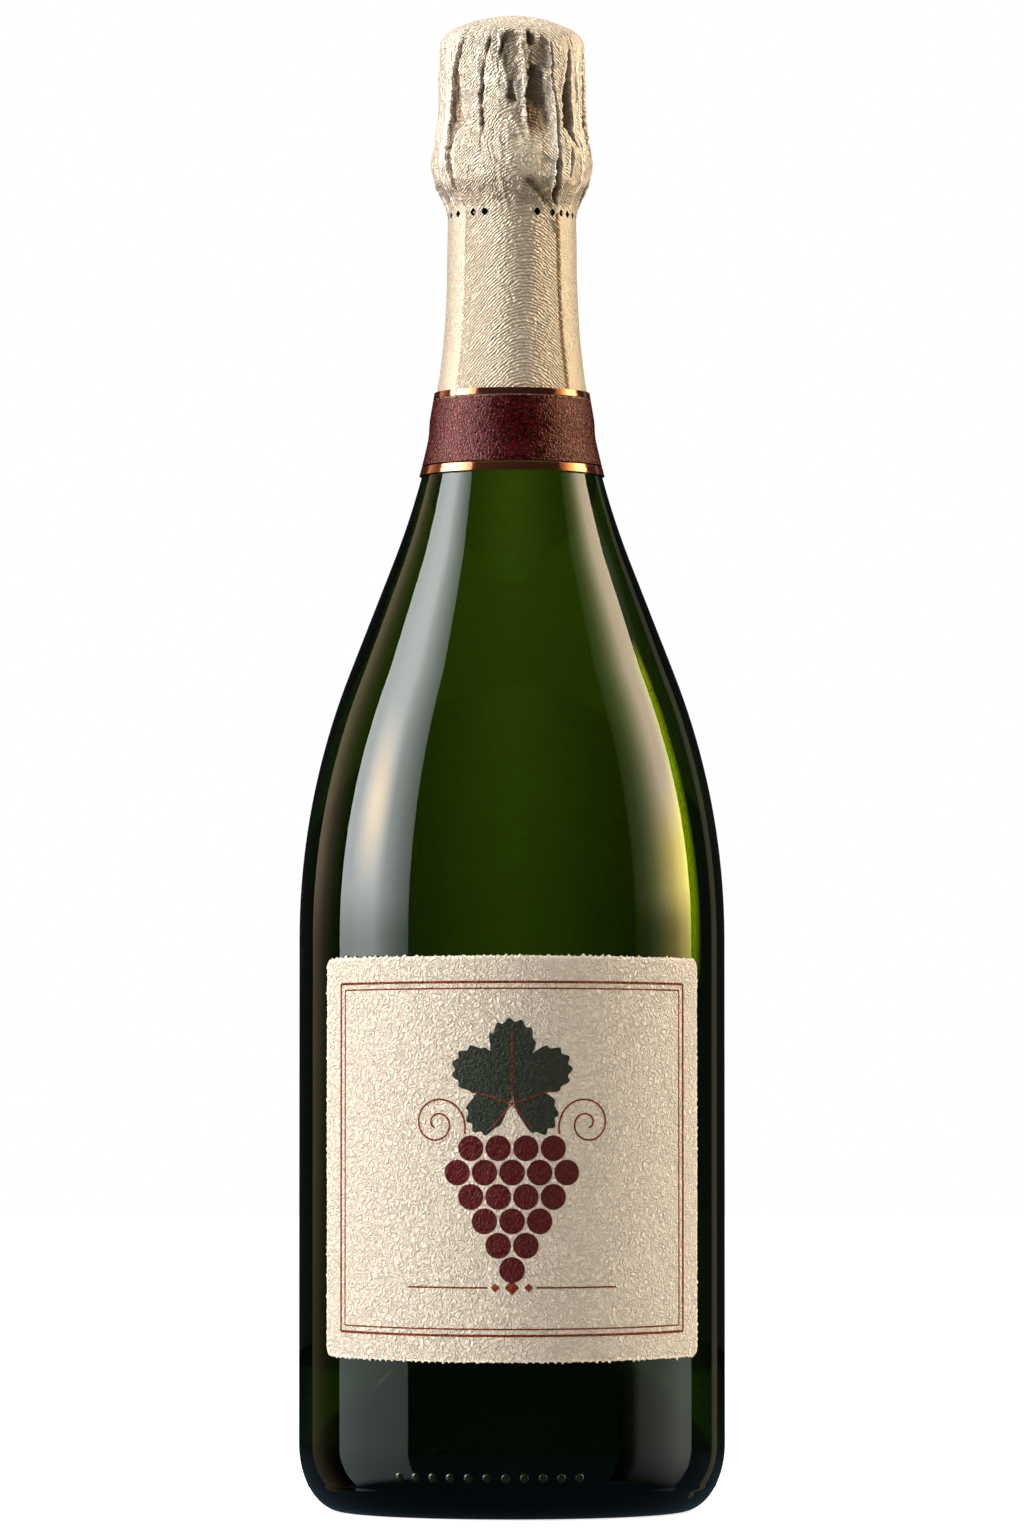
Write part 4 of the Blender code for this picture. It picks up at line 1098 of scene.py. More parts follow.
def tear_edge(degrees, height, sizes, side):
    """Height moved so that the edge opens into half of each hole, and the painted highlight of the hole's
    pale rim.
    """
    half = math.degrees(sizes.hole / 2 / (13.6 * MM))
    nearest = min(apart(degrees, hole) for hole in TEAR_HOLES)
    opening = sizes.hole / 2 * max(0, 1 - (nearest / half) ** 1.7)
    off = abs(height - TEAR)
    # Painted highlight: a pale rim round each hole
    rim = smooth((half * 1.3 - nearest) / (half * 0.3)) * smooth((0.35 * MM - off) / (0.15 * MM)) * 0.5
    return height + side * max(-0.01 * MM, opening) * max(0, 1 - off / TEAR_REACH), rim


def emboss(foil):
    """Fine wandering ripples: arches down the skirt, looser on the crown, and a whorl on its bulge."""
    across, z = foil.part("X") - 2.7 * MM, foil.part("Z")
    arches = z + (across * across + (6 * MM) ** 2) ** 0.5 * 1.3
    whorl = foil.away(around(16.8 * MM, 13, 279.9 * MM))
    outside = foil.level(whorl, 2 * MM, 3.2 * MM)
    ripple = arches * outside + whorl * (1 - outside)
    loose = (foil.level(z, TEAR, TEAR + 3 * MM) * 2 + 1.6) * (outside * 0.85 + 0.15)
    drift = (foil.noise(3.4 * MM, 1) - 0.5) * loose + (foil.noise(1.2 * MM, 1) - 0.5) * 1.1
    waves = ((ripple / (0.74 * MM) + drift) * math.tau).sine()
    return (waves * 0.5 + 0.5) * foil.level(foil.noise(0.75 * MM, 1), 0.25, 0.62)


def foil_finish(colours):
    """Satin foil, embossed on the front and back panels and crinkled on the crown, with painted shade in
    its hollows and folds and painted highlight on its ridges.
    """
    foil = Finish("champagne_foil")
    x, y = [abs(foil.part(axis)) for axis in "XY"]
    embossed = 1 - foil.level(x - y * 1.03, -0.4 * MM, 0.4 * MM) * 0.7
    crown = foil.level(foil.part("Z"), TEAR, TEAR + 3 * MM)
    facets = abs(foil.noise(4.4 * MM, 3, 0.55, 0.5, foil.place((1, 1, 0.42))) - 0.5) * -2
    crinkle = foil.level(abs(foil.noise(1.5 * MM, 2, 0.55, 0.9) - 0.5), 0.0, 0.22)
    fine = foil.noise(0.3 * MM, 2, 0.5, 0.4)
    broad = foil.noise(7 * MM, 2)
    relief = (emboss(foil) * 0.9 + crinkle * (crown * 0.25 + 0.35)) * embossed + fine * 0.2
    tone = foil.mix(broad, colours.foil, scaled(colours.foil, 0.86))
    tone = foil.mix(crown * 0.35 + (1 - embossed) * 0.4, tone, (0.88, 0.78, 0.63))
    # Painted shade in the hollows of the emboss and the crinkle
    tone = foil.mix((1 - foil.level(relief, 0.1, 0.9)) * 0.52, tone, colours.foil_fold_shade)
    # Painted shade in the folds, the sinking creases, the skirt's grooves and under the bulge
    tone = foil.mix(foil.attribute("cavity"), tone, colours.foil_fold_shade)
    crumpled = foil.bump(facets * crown, 2.6 * MM, 0.7)
    # Painted highlight on the ridges, the folds' lips and the holes' rims; where shade is painted the foil
    # is also more metallic, so that it reflects the dark surround
    foil.set(base_color=foil.mix(foil.attribute("pale") * 0.7, tone, (0.95, 0.9, 0.81)),
             roughness=fine * 0.14 + 0.32, normal=foil.bump(relief, 0.37 * MM, 1.0, crumpled),
             metallic=foil.attribute("cavity") * 0.4 + 0.35)
    return foil


def foil_sheet(outline, columns):
    """The outline turned, with its layers for painted shade and for painted highlight."""
    shape = outwards(turned(outline, columns))
    return shape, *[shape.verts.layers.float.new(name) for name in ("cavity", "pale")]


class ADD_OT_capsule(bpy.types.Operator):
    """Pleated foil over cork and hood, torn off at a perforated line above the skirt"""
    bl_idname = "wine_bottle.add_capsule"
    bl_label = "Add Capsule"

    def crown(self, scene, finish):
        sizes = scene.bottle_capsule
        shape, cavity, pale = foil_sheet(crown_outline(scene.bottle_closure), sizes.columns)
        for vert in shape.verts:
            radius, height, degrees = vert.co.xy.length, vert.co.z / MM, degrees_of(vert.co)
            move = sizes.crumple * noise.fractal(vert.co * 190, 1.0, 2.0, 3) * smooth(radius / (4 * MM))
            move += 0.11 * MM * noise.noise(vert.co * 620) * smooth(radius / (8 * MM))
            raised = painted_fold_shade = across = 0
            if radius > 8 * MM:
                sunk, raised, painted_fold_shade = creased(degrees, height, vert.co)
                across = crossing(degrees, round(height, 1), radius)
                move += sizes.ridge * raised + across * MM - sizes.fold * sunk
            if height < DOME_FOOT:
                move = max(move, -room_inside(degrees, height, radius, sizes.foil))
            move *= smooth((vert.co.z - TEAR) / (2 * MM))
            vert.co.xy *= 1 + move / max(radius, 1 * MM)
            vert.co.z, rim = tear_edge(degrees, vert.co.z, sizes, 1)
            # Painted shade under the bulge and in the crossing creases that sink, beside the painted fold
            # shade
            under = 0.3 * smooth((277 - height) / 1.5) * smooth((height - 270.5) / 2)
            vert[cavity] = max(painted_fold_shade, min(0.6, -across), under)
            # Painted highlight on the ridges and on the lips beside the folds, as well as round the holes
            vert[pale] = max(rim, min(1, raised * 1.5))
        crown = piece("capsule_crown_pleated", shape, finish, "capsule_top", ["capsule_crown"],
                      70)
        thick(crown, sizes.foil, sharp=85)

    def skirt(self, scene, finish):
        sizes, outside, rows = scene.bottle_capsule, outer_side(scene.bottle_glass), 100
        heights = [between(TEAR, SKIRT_FOOT, row / rows) for row in range(rows + 1)]
        outline = [(outside.radius(height) + SKIRT_OUT, height) for height in heights]
        shape, cavity, pale = foil_sheet(outline, sizes.columns)
        for vert in shape.verts:
            radius, height, degrees = vert.co.xy.length, vert.co.z, degrees_of(vert.co)
            down = (TEAR - height) / (TEAR - SKIRT_FOOT)
            scallop = noise.noise(vert.co * 1300) * 0.6 + 0.8 * math.sin(height / (1.2 * MM) * math.tau)
            groove = 0
            for middle, turn, half in GROOVES:
                within = 1.3 - apart(degrees + scallop, middle + turn * down) / half
                groove = max(groove, smooth(within) * min(1, half / 1.6))
            move = 0.06 * MM * noise.fractal(vert.co * 160, 1.0, 2.0, 2) - 0.26 * MM * groove
            if height > TEAR - 5 * MM:
                move += crossing(degrees, round(height / MM, 1), radius) * MM
            move *= smooth((TEAR - height) / (2 * MM)) * smooth((height - SKIRT_FOOT) / (4 * MM))
            vert.co.xy *= 1 + move / radius
            vert.co.z, vert[pale] = tear_edge(degrees, height, sizes, -1)
            # Painted shade in the grooves
            vert[cavity] = groove * 0.9
        skirt = piece("capsule_skirt_foil", shape, finish, "bottle", ["capsule_skirt"], 70)
        thick(skirt, sizes.foil)

    def execute(self, context):
        finish = foil_finish(context.scene.bottle_colours)
        self.crown(context.scene, finish)
        self.skirt(context.scene, finish)
        return {"FINISHED"}


# Neck band

def over_foil(height):
    """Share of the way out from the glass onto the foil's end."""
    return smooth((height - SKIRT_FOOT + BAND_COVER) / BAND_COVER)


def band_sleeve(scene, node, name, finish, rows):
    """A ring over the glass and over the foil's end above it, whose grooves show through."""
    outside, paper = outer_side(scene.bottle_glass), scene.bottle_paper.paper
    heights = [between(top_of(node), foot_of(node), row / rows) for row in range(rows + 1)]
    outline = [(outside.radius(height) + BAND_OUT + SKIRT_OUT * over_foil(height) + paper, height)
               for height in heights]
    shape = outwards(turned(outline, 240))
    for vert in shape.verts:
        degrees = degrees_of(vert.co)
        groove = max(smooth(1.2 - apart(degrees, middle) / 2) for middle in (-47, 48, 137, 223))
        vert.co.xy *= 1 - 0.1 * MM * groove * over_foil(vert.co.z) / vert.co.xy.length
    return thick(piece(name, shape, finish, "bottle", [node], 60), paper)


class ADD_OT_neck_band(bpy.types.Operator):
    """Burgundy leather-grained neck band between two polished copper edges"""
    bl_idname = "wine_bottle.add_neck_band"
    bl_label = "Add Neck Band"

    def execute(self, context):
        scene, colours = context.scene, context.scene.bottle_colours
        paper = Finish("burgundy_paper", specular_ior_level=0.5, specular_tint=(1, 0.42, 0.4))
        grain = paper.level(paper.cells(0.72 * MM, "DISTANCE_TO_EDGE"), 0.0, 0.22)
        wrinkle = paper.level(abs(paper.noise(1.1 * MM, 2, 0.5, 0.6) - 0.5), 0.0, 0.2)
        mottle = paper.noise(2.5 * MM, 3)
        hide = grain * 0.6 + wrinkle * 0.5 + paper.noise(0.3 * MM, 2) * 0.2
        # Painted shade in the valleys of the grain and the wrinkles; lighter and darker at random elsewhere
        painted_grain_shade, dark, light = [scaled(colours.burgundy, share) for share in (0.1, 0.7, 1.3)]
        tone = paper.mix(paper.level(hide, 0.3, 0.9), painted_grain_shade, paper.mix(mottle, light, dark))
        paper.set(base_color=tone, roughness=mottle * 0.08 + 0.2, normal=paper.bump(hide, 0.1 * MM, 1.0))
        copper = metal_finish("copper_foil", colours.copper, (0.4 * MM, 2), (0.4, 0.8), (0.07, 0.07),
                              (0.9 * MM, 0.03 * MM, 0.8), 0.97)
        band_sleeve(scene, "neck_band", "neck_band_grained", paper, 10)
        for edge in ("upper", "lower"):
            node = "neck_band_edge_" + edge
            ring = band_sleeve(scene, node, node + "_polished", copper, 3)
            rim = ring.modifiers.new("Rim", "BEVEL")
            rim.width, rim.segments, rim.limit_method = 0.07 * MM, 2, "ANGLE"
        return {"FINISHED"}


# Label and its print

def bent(shape, radius):
    """Bends a shape drawn flat on x and z round the bottle, with y as its depth below the face.

    The label's head and foot are cut with a slight bow, and all on it follows that.
    """
    for vert in shape.verts:
        turn, share = vert.co.x / radius, (vert.co.z - LABEL_MIDDLE) / LABEL_TALL
        bow, tuck = (0.4 * MM, 0.3 * MM) if share > 0 else (0.8 * MM, 0.45 * MM)
        move = share * (bow * (2 * math.cos(turn) - 1) - tuck)
        vert.co = around(radius - vert.co.y, math.degrees(turn), vert.co.z + move)
    bmesh.ops.recalc_face_normals(shape, faces=shape.faces)
    return outwards(shape)


def felt(finish, strength=0.9):
    """Share of the felt marks pressed into the paper, and their relief, which the print shows too."""
    marks = finish.level(abs(finish.noise(0.95 * MM, 1, 0.5, 0.8) - 0.5), 0.0, 0.2)
    fibres = finish.noise(0.55 * MM, 2, 0.5, 0.3)
    return 1 - marks, finish.bump(marks * 0.7 + fibres * 0.3, 0.85 * MM, strength)


def label_finish(colours):
    paper = Finish("label_paper", roughness=0.82)
    clouds = paper.noise(9 * MM, 3)
    fibres = paper.noise(0.5 * MM, 3, 0.65, 0.4)
    marks, relief = felt(paper)
    cloudy, dark, fresh = [scaled(colours.paper, share) for share in (0.9, 0.7, 1.25)]
    tone = paper.mix(clouds * 0.6, colours.paper, cloudy)
    # Darker at random along the fibres, and painted shade in the grooves of the felt marks
    tone = paper.mix(paper.level(fibres, 0.35, 0.7) * 0.1 + marks * 0.12, tone, dark)
    paper.set(base_color=paper.mix(paper.attribute("torn"), tone, fresh), normal=relief)
    return paper


def ink_finish(name, shade, metallic, roughness):
    ink = Finish(name, metallic=metallic, specular_ior_level=0.2)
    worn = ink.noise(0.5 * MM, 3, 0.6)
    warmer = tuple(part * more for part, more in zip(shade, (2.2, 1.9, 1.3)))
    ink.set(base_color=ink.mix(ink.level(worn, 0.3, 0.75) * 0.5, shade, warmer),
            roughness=worn * 0.2 + roughness, normal=felt(ink, 0.8)[1])
    return ink


def flat_disc(shape, across, height, radius, sides=40, squeeze=None):
    """A filled outline on the x-z plane; squeeze gives its radius share at an angle."""
    for vert in bmesh.ops.create_circle(shape, cap_ends=True, segments=sides, radius=radius)["verts"]:
        share = squeeze(math.atan2(vert.co.y, vert.co.x)) if squeeze else 1
        vert.co = Vector((across + vert.co.x * share, 0, height + vert.co.y * share))


def stroke(shape, points, width):
    """A ribbon of this width along flat (across, height) points."""
    points = [Vector((across, 0, height)) for across, height in points]
    rungs = []
    for before, point, after in zip(points[:1] + points, points, points[1:] + points[-1:]):
        along = (after - before).normalized()
        out = Vector((-along.z, 0, along.x)) * width / 2
        rungs.append([shape.verts.new(point + out), shape.verts.new(point - out)])
    for (a, b), (c, d) in zip(rungs, rungs[1:]):
        shape.faces.new((a, b, d, c))


def printed(name, shape, finish, scene, lift=0.0):
    """Cuts a flat print into narrow strips, bends it onto the label and gives it its thickness."""
    low = min(vert.co.x for vert in shape.verts)
    high = max(vert.co.x for vert in shape.verts)
    pitch = 0.7 * MM
    for index in range(int(low / pitch) - 1, int(high / pitch) + 2):
        bmesh.ops.bisect_plane(shape, geom=shape.verts[:] + shape.edges[:] + shape.faces[:],
                               plane_co=(index * pitch, 0, 0), plane_no=(1, 0, 0))
    bmesh.ops.remove_doubles(shape, verts=shape.verts, dist=MERGE)
    bent(shape, LABEL_FACE + 0.01 * MM + lift)
    thick(piece(name, shape, finish, "bottle", (), 60), scene.bottle_paper.ink, 1.0)


def leaf_share(angle):
    """Outline of a five-lobed leaf with a toothed edge, about its middle."""
    lobes = abs(math.cos(2.5 * (angle - math.pi / 2)))
    teeth = 0.035 * math.cos(31 * angle)
    notch = 0.45 * math.exp(-(apart(math.degrees(angle), -90) / 16) ** 2)
    return 0.58 + 0.42 * lobes ** 0.7 + teeth - notch


def torn_edge(along, seed):
    """Share of the deckle's depth at this place on an edge: small uneven scallops."""
    rough = noise.fractal(Vector((seed, along / (1.4 * MM), 0)), 0.7, 2.0, 3)
    return 0.5 * rough + 0.55 * abs(math.sin(math.pi * along / (1.45 * MM) + 1.5 * rough)) - 0.3


class ADD_OT_label(bpy.types.Operator):
    """Deckle-edged felt paper label with a plain bunch of grapes, a leaf and copper rules"""
    bl_idname = "wine_bottle.add_label"
    bl_label = "Add Label"

    def sheet(self, scene, finish):
        sizes = scene.bottle_paper
        half, tall = sizes.width / 2, LABEL_TALL
        shape = bmesh.new()
        bmesh.ops.create_grid(shape, x_segments=66, y_segments=58, size=1)
        rim = [edge for edge in shape.edges
               if any(near.is_boundary for face in edge.link_faces for near in face.edges)]
        bmesh.ops.subdivide_edges(shape, edges=rim, cuts=4, use_grid_fill=True)
        torn = shape.verts.layers.float.new("torn")
        for vert in shape.verts:
            x, z = vert.co.x * half, vert.co.y * tall
            over_x, over_z = abs(x) - half + sizes.corner, abs(z) - tall + sizes.corner
            if over_x > 0 and over_z > 0:
                reach = max(over_x, over_z) / math.hypot(over_x, over_z)
                x -= math.copysign(over_x * (1 - reach), x)
                z -= math.copysign(over_z * (1 - reach), z)
            near_x = max(0, 1 - (half - abs(x)) / (1.2 * MM))
            near_z = max(0, 1 - (tall - abs(z)) / (1.2 * MM))
            wave_x = torn_edge(z, math.copysign(7, x)) * sizes.deckle
            wave_z = torn_edge(x, math.copysign(5, z)) * sizes.deckle
            edge = max(near_x, near_z)
            vert[torn] = smooth((edge - 0.45) / 0.4)
            x += math.copysign(near_x ** 2 * (wave_x - 0.1 * MM), x)
            z += math.copysign(near_z ** 2 * (wave_z - 0.1 * MM), z)
            vert.co = Vector((x, edge ** 3 * 0.1 * MM, LABEL_MIDDLE + z))
        bent(shape, LABEL_FACE)
        label = piece("front_label_felt", shape, finish, "bottle", ["front_label"], 60)
        thick(label, sizes.paper)

    def grapes(self, scene, colours):
        sizes = scene.bottle_paper
        pitch = sizes.berry * 2.16
        top = LABEL_MIDDLE + 2 * MM
        berries = bmesh.new()
        for row, count in enumerate((4, 5, 4, 3, 2, 1)):
            for index in range(count):
                across = (index - (count - 1) / 2) * pitch
                flat_disc(berries, across, top - row * pitch * 0.87, sizes.berry)
        ink = ink_finish("ink_burgundy", colours.ink_burgundy, 0.0, 0.45)
        printed("print_berries", berries, ink, scene)

    def leaf(self, scene, colours, copper):
        height = LABEL_MIDDLE + 15.5 * MM
        green = bmesh.new()
        flat_disc(green, 0, height, scene.bottle_paper.leaf, 200, leaf_share)
        printed("print_leaf", green, ink_finish("ink_green", colours.ink_green, 0.0, 0.5), scene)
        veins = bmesh.new()
        foot = height - 4.5 * MM
        for degrees, reach in ((90, 14.2), (18, 8.6), (162, 8.6), (-50, 6.5), (230, 6.5)):
            angle = math.radians(degrees)
            tip = (reach * MM * math.cos(angle), foot + reach * MM * math.sin(angle))
            stroke(veins, [(0, foot), tip], 0.26 * MM)
        printed("print_veins", veins, copper, scene, 0.035 * MM)

    def rules(self, scene, copper):
        """A double frame, and a short rule under the grapes broken by three lozenges."""
        lines = bmesh.new()
        for inset, width in ((5.2 * MM, 0.5 * MM), (6.5 * MM, 0.3 * MM)):
            wide, tall = scene.bottle_paper.width / 2 - inset, LABEL_TALL - inset
            low, high = LABEL_MIDDLE - tall, LABEL_MIDDLE + tall
            for height in (low, high):
                stroke(lines, [(-wide, height), (wide, height)], width)
            for across in (-wide, wide):
                stroke(lines, [(across, low), (across, high)], width)
        height = LABEL_MIDDLE - 26 * MM
        for side in (-1, 1):
            stroke(lines, [(side * 5 * MM, height), (side * 22 * MM, height)], 0.34 * MM)
        for across, size in ((0, 1.5), (-3.4, 0.9), (3.4, 0.9)):
            flat_disc(lines, across * MM, height, size * MM, 4)
        printed("print_rules", lines, copper, scene)

    def tendrils(self, scene, copper):
        """A curling tendril on each side of the leaf."""
        centre, height, steps = 15.5 * MM, LABEL_MIDDLE + 7 * MM, 60
        lines = bmesh.new()
        for side in (-1, 1):
            points = []
            for step in range(steps + 1):
                share = step / steps
                turn = math.radians(200 - 620 * share)
                reach = between(6.2, 0.9, share ** 0.8) * MM
                points.append((side * (centre + reach * math.cos(turn)), height + reach * math.sin(turn)))
            stroke(lines, points, 0.36 * MM)
        printed("print_tendrils", lines, copper, scene)

    def execute(self, context):
        scene, colours = context.scene, context.scene.bottle_colours
        self.sheet(scene, label_finish(colours))
        copper = ink_finish("ink_copper", colours.ink_copper, 0.3, 0.35)
        self.grapes(scene, colours)
        self.leaf(scene, colours, copper)
        self.rules(scene, copper)
        self.tendrils(scene, copper)
        return {"FINISHED"}


# Stage. The cards are seen in reflections or through the glass alone. These are
# the heights of the room, of its soft boxes and of the foot of the cards that
# reach below the floor.

ROOM_FOOT, ROOM_TOP = -0.6, 2.2
BOX_FOOT, BOX_TOP = 0.06, 1.3
BELOW = -0.4


class Glow(Finish):
    """An emission finish whose strength changes with the direction from the axis and with height."""

    def __init__(self, name, tint, peak, across=(), upright=()):
        super().__init__(name)
        self.tree.nodes.remove(self.shader)
        self.shader = self.tree.nodes.new("ShaderNodeEmission")
        self.tree.links.new(self.shader.outputs[0], self.tree.nodes["Material Output"].inputs["Surface"])
        self.set(color=tint, strength=self.spread(peak, across, upright))

    def spread(self, peak, across=(), upright=()):
        """A strength that follows (degrees, share) stops round the axis and (height, share) stops."""
        strength = peak
        for stops, value in ((across, self.direction), (upright, self.height)):
            if stops:
                strength = self.read(value(), stops) * strength
        return strength

    def direction(self):
        """Degrees round from the front, towards +X."""
        x, y = self.part("X"), self.part("Y")
        return x.maths("ARCTAN2", x, y * -1) * (180 / math.pi)

    def height(self):
        return self.part("Z")

    def read(self, value, stops):
        """A smooth reading of (place, share) stops."""
        low, high = stops[0][0], stops[-1][0]
        return self.ramp(self.level(value, low, high),
                         *[((place - low) / (high - low), share) for place, share in stops])


def staged(name, shape, material, sees=()):
    """A stage object that only these kinds of ray see."""
    thing = from_shape(name, shape, material)
    for ray in ("camera", "diffuse", "glossy", "transmission", "shadow"):
        setattr(thing, "visible_" + ray, ray in sees)


def card(name, finish, radius, first, last, low, high, sees=("glossy",), steps=24):
    """A curved card round the bottle, from first to last degrees."""
    shape = bmesh.new()
    start = [shape.verts.new(around(radius, first, height)) for height in (low, high)]
    edge = shape.edges.new(start)
    bmesh.ops.spin(shape, geom=start + [edge], axis=(0, 0, 1), cent=(0, 0, 0), dvec=(0, 0, 0),
                   angle=math.radians(last - first), steps=steps, use_merge=False)
    staged(name, shape, finish.material, sees)


def lining(name, finish, radius, height, sees):
    """A disc under or over the bottle."""
    shape = bmesh.new()
    bmesh.ops.create_circle(shape, cap_ends=True, segments=48, radius=radius,
                            matrix=Matrix.Translation((0, 0, height)))
    staged(name, shape, finish.material, sees)


def lamp(name, place, target, size, power, tint=(1, 1, 1)):
    data = bpy.data.lights.new(name, "AREA")
    data.shape = "RECTANGLE"
    data.size, data.size_y = size
    data.energy = power
    data.color = tint
    thing = in_scene(name, data)
    thing.location = place
    thing.rotation_euler = (Vector(target) - Vector(place)).to_track_quat("-Z", "Y").to_euler()
    thing.visible_glossy = False
    thing.visible_transmission = False


class ADD_OT_stage(bpy.types.Operator):
    """Pale floor, soft boxes, dark surround for reflections and the camera"""
    bl_idname = "wine_bottle.add_stage"
    bl_label = "Add Stage"

    def floor(self):
        shape = bmesh.new()
        bmesh.ops.create_grid(shape, x_segments=1, y_segments=1, size=4,
                              matrix=Matrix.Translation((0, 0, -0.02 * MM)))
        matt = Finish("pale_floor", base_color=(0.5, 0.5, 0.5), roughness=1.0, specular_ior_level=0.0)
        seen = matt.node("ShaderNodeLightPath", output="Is Camera Ray")
        glow = matt.mix(matt.level(matt.away(), 0.15, 0.7), (0.75, 0.75, 0.75), (1.1, 1.1, 1.1))
        matt.set(emission_color=glow, emission_strength=seen)
        staged("floor", shape, matt.material, ("camera", "diffuse", "shadow"))

    def world(self, ambient):
        world = bpy.data.worlds.new("studio")
        world.use_nodes = True
        tree = world.node_tree
        rays = tree.nodes.new("ShaderNodeLightPath")
        strength = tree.nodes.new("ShaderNodeMapRange")
        strength.inputs["To Min"].default_value = 1.0
        strength.inputs["To Max"].default_value = ambient
        tree.links.new(rays.outputs["Is Diffuse Ray"], strength.inputs["Value"])
        tree.links.new(strength.outputs[0], tree.nodes["Background"].inputs["Strength"])
        tree.nodes["Background"].inputs["Color"].default_value = (1, 1, 1, 1)
        bpy.context.scene.world = world

    def surround(self):
        """What the glass and the metals see."""
        dark = Glow("dark_surround", (0.8, 0.9, 1), 0.014)
        card("surround", dark, 1.0, 0, 360, ROOM_FOOT, ROOM_TOP, steps=48)
        lining("surround_floor", Glow("surround_floor", (0.5, 0.78, 1), 0.07), 1.0, BELOW, ("glossy",))
        low = Glow("surround_low", (0.5, 0.78, 1), 0.07, (), ((BELOW, 1), (-0.12, 0.8), (0, 0)))
        card("surround_low", low, 0.98, 0, 360, BELOW, 0, steps=48)
        window = Glow("window", (1, 1, 1), 1.0)
        panes = 4
        bright = (window.direction() * math.radians(panes)).cosine()
        window.set(strength=window.read(bright, (
            (-1, 0.2), (-0.56, 0.38), (0, 0.48), (0.576, 0.58), (0.78, 0.68), (0.93, 0.88), (1, 1))))
        card("window", window, 1.0, 0, 360, ROOM_FOOT, ROOM_TOP, ("transmission",), 96)
        floor = Glow("window_floor", (1, 1, 1), 1.0)
        # Painted shadow: the floor seen through the glass is dark under the bottle
        floor.set(strength=floor.level(floor.away(), 0.04, 0.2) * 0.85)
        lining("window_floor", floor, 1.0, -0.02, ("transmission",))
        lining("window_ceiling", Glow("window_ceiling", (1, 1, 1), 0.6), 1.0, ROOM_TOP, ("transmission",))

    def boxes(self):
        """The soft boxes' reflections: two long highlights, with rims of light beside them."""
        left, right, cool = (-104, -56), (58, 110.5), (0.94, 0.98, 1)
        box = Glow("left_box", cool, 1.0)
        even = box.spread(
            9.7, ((-104, 0.68), (-98, 0.72), (-88, 0.95), (-79, 1), (-71, 0.62), (-63, 0.37), (-56, 0.22)),
            ((BOX_FOOT, 0.14), (0.12, 0.45), (0.2, 0.9), (0.28, 1), (BOX_TOP, 1)))
        hot = box.spread(8, ((-97, 0), (-86, 1), (-82, 1), (-72, 0)),
                         ((0.2, 0), (0.33, 1), (0.37, 1), (0.56, 0)))
        box.set(strength=even + hot, color=box.mix(hot * 0.16, cool, (1, 0.84, 0.66)))
        card("left_box", box, 0.7, *left, BOX_FOOT, BOX_TOP)
        low = Glow("left_box_low", (0.88, 1, 1), 1.3, ((-104, 1), (-70, 0.9), (-56, 0.8)),
                   ((BELOW, 0.1), (-0.33, 0.6), (-0.1, 0.75), (BOX_FOOT, 1)))
        card("left_box_low", low, 0.71, *left, BELOW, BOX_FOOT)
        box = Glow("right_box", cool, 1.0)
        even = box.spread(
            7.6, ((59, 0), (67.5, 0.003), (69, 0.04), (75, 0.085), (78, 0.13), (82, 0.22), (87, 0.42),
                  (92, 0.7), (97, 1), (110.5, 1)),
            ((BOX_FOOT, 0.12), (0.13, 0.29), (0.155, 0.42), (0.2, 1), (BOX_TOP, 1)))
        gold = box.spread(4.6, ((97, 0), (103, 0.8), (110.5, 1)),
                          ((0.1, 0.3), (0.155, 0.7), (0.2, 1), (0.29, 0.9), (0.38, 0)))
        warm = box.mix(box.level(box.height(), 0.26, 0.36), (1, 0.8, 0.24), (1, 0.79, 0.55))
        warm = box.mix(box.level(box.direction(), 76, 95), (0.95, 1, 0.44), warm)
        box.set(strength=even + gold, color=warm)
        card("right_box", box, 0.7, *right, BOX_FOOT, BOX_TOP)
        low = Glow("right_box_low", (0.96, 1, 0.93), 1.2,
                   ((59, 0), (66, 0.05), (71, 0.4), (80, 0.55), (90, 0.75), (101, 1), (110.5, 0.8)),
                   ((BELOW, 0.05), (-0.31, 0.28), (-0.1, 0.8), (BOX_FOOT, 1)))
        card("right_box_low", low, 0.71, *right, BELOW, BOX_FOOT)
        rim = Glow("rim_strip", (1, 0.76, 0.5), 1.0,
                   ((-135, 0), (-134, 1), (-127, 0.8), (-120, 0.38), (-112, 0.12), (-105, 0)),
                   ((BELOW, 0.2), (0, 0.2), (0.13, 0.4), (0.22, 0.9), (BOX_TOP, 0.6)))
        card("rim_strip", rim, 0.8, -135, -105, BELOW, BOX_TOP)
        rim = Glow("rim_line", (1, 0.9, 0.6), 0.2, ((134, 0), (136.5, 1), (142.5, 1), (145, 0)))
        card("rim_line", rim, 0.8, 134, 145, BELOW, BOX_TOP)
        back = Glow("back_high", (1, 0.97, 0.92), 0.9, (), ((0.6, 0), (0.85, 1), (ROOM_TOP, 1)))
        card("back_high", back, 0.95, 100, 260, 0.6, ROOM_TOP)
        lining("ceiling", Glow("ceiling", (1, 0.97, 0.92), 0.9), 1.0, ROOM_TOP, ("glossy",))
        edge = Glow("edge_glow", (1, 0.62, 0.1), 27, ((-163, 0), (-161, 1), (-159.5, 1), (-157, 0)),
                    ((0.111, 0), (0.116, 0.7), (0.122, 1), (0.128, 0.8), (0.133, 0)))
        card("edge_glow", edge, 0.15, -163, -157, 0.111, 0.133, ("transmission",))

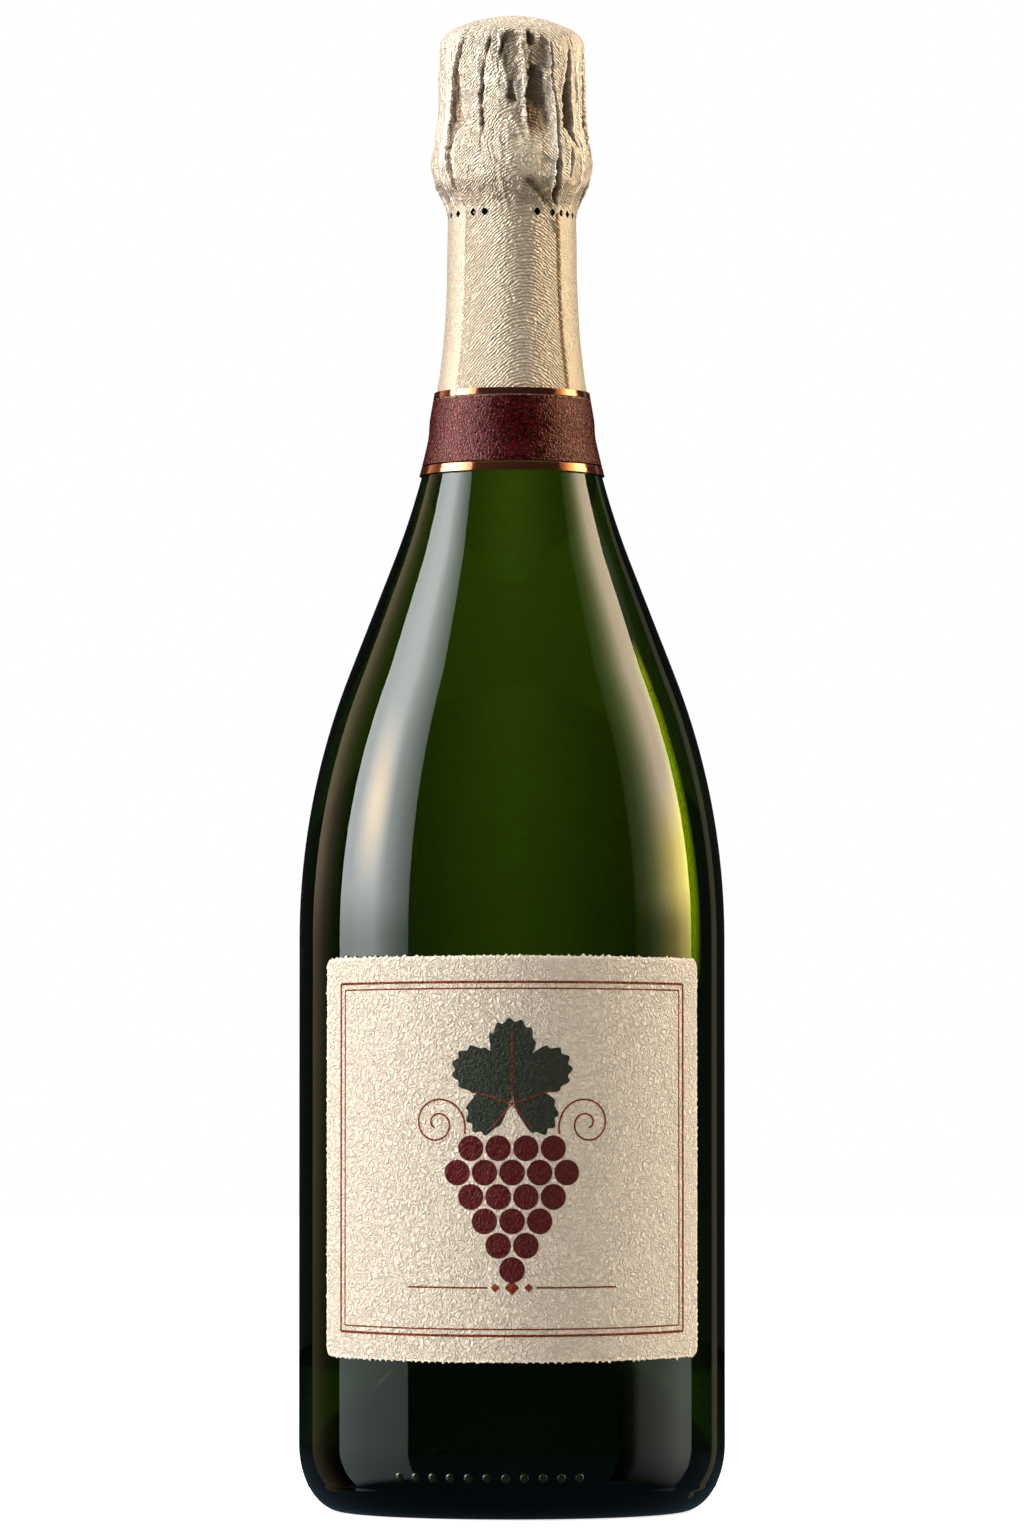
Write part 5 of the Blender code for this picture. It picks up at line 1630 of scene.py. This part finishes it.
    def execute(self, context):
        scene, settings = context.scene, context.scene.bottle_stage
        self.floor()
        self.world(settings.ambient)
        self.surround()
        self.boxes()
        lamp("key", (-0.85, -0.28, 0.6), (0, 0, 0.16), (0.5, 0.9), settings.key, (0.97, 0.985, 1))
        lamp("right", (0.82, 0.16, 0.5), (0, 0, 0.16), (0.3, 0.9), settings.rim, (1, 0.93, 0.83))
        lamp("fill", (0.1, -1.25, 0.5), (0, 0, 0.16), (0.8, 0.8), settings.fill, (1, 0.95, 0.88))
        lamp("top", (-0.1, 0.25, 1.1), (0, 0, 0.3), (0.6, 0.6), settings.top)
        lens = bpy.data.cameras.new("camera")
        lens.lens = settings.lens
        camera = in_scene("camera", lens)
        camera.location = (0, -settings.distance, settings.eye)
        camera.rotation_euler = (math.pi / 2 + settings.tilt, 0, 0)
        scene.camera = camera
        scene.view_settings.view_transform = "Standard"
        return {"FINISHED"}


GROUPS = {
    "bottle_glass": GlassSizes,
    "bottle_closure": ClosureSizes,
    "bottle_capsule": CapsuleSizes,
    "bottle_paper": PaperSizes,
    "bottle_colours": BottleColours,
    "bottle_stage": StageSettings,
}
STEPS = (ADD_OT_glass, ADD_OT_wine, ADD_OT_cork, ADD_OT_hood, ADD_OT_capsule, ADD_OT_neck_band,
         ADD_OT_label, ADD_OT_stage)


class BOTTLE_PT_panel(bpy.types.Panel):
    bl_idname = "BOTTLE_PT_panel"
    bl_label = "Sparkling Wine Bottle"
    bl_space_type = "VIEW_3D"
    bl_region_type = "UI"
    bl_category = "Bottle"

    def draw(self, context):
        for name, group in GROUPS.items():
            box = self.layout.box()
            for setting in group.__annotations__:
                box.prop(getattr(context.scene, name), setting)
        for step in STEPS:
            self.layout.operator(step.bl_idname)


CLASSES = (*GROUPS.values(), *STEPS, BOTTLE_PT_panel)


def register():
    for made in CLASSES:
        bpy.utils.register_class(made)
    for name, group in GROUPS.items():
        setattr(bpy.types.Scene, name, PointerProperty(type=group))


def unregister():
    for name in GROUPS:
        delattr(bpy.types.Scene, name)
    for made in reversed(CLASSES):
        bpy.utils.unregister_class(made)


def main():
    register()
    for step in STEPS:
        getattr(bpy.ops.wine_bottle, step.bl_idname.split(".")[1])()


if __name__ == "__main__":
    main()
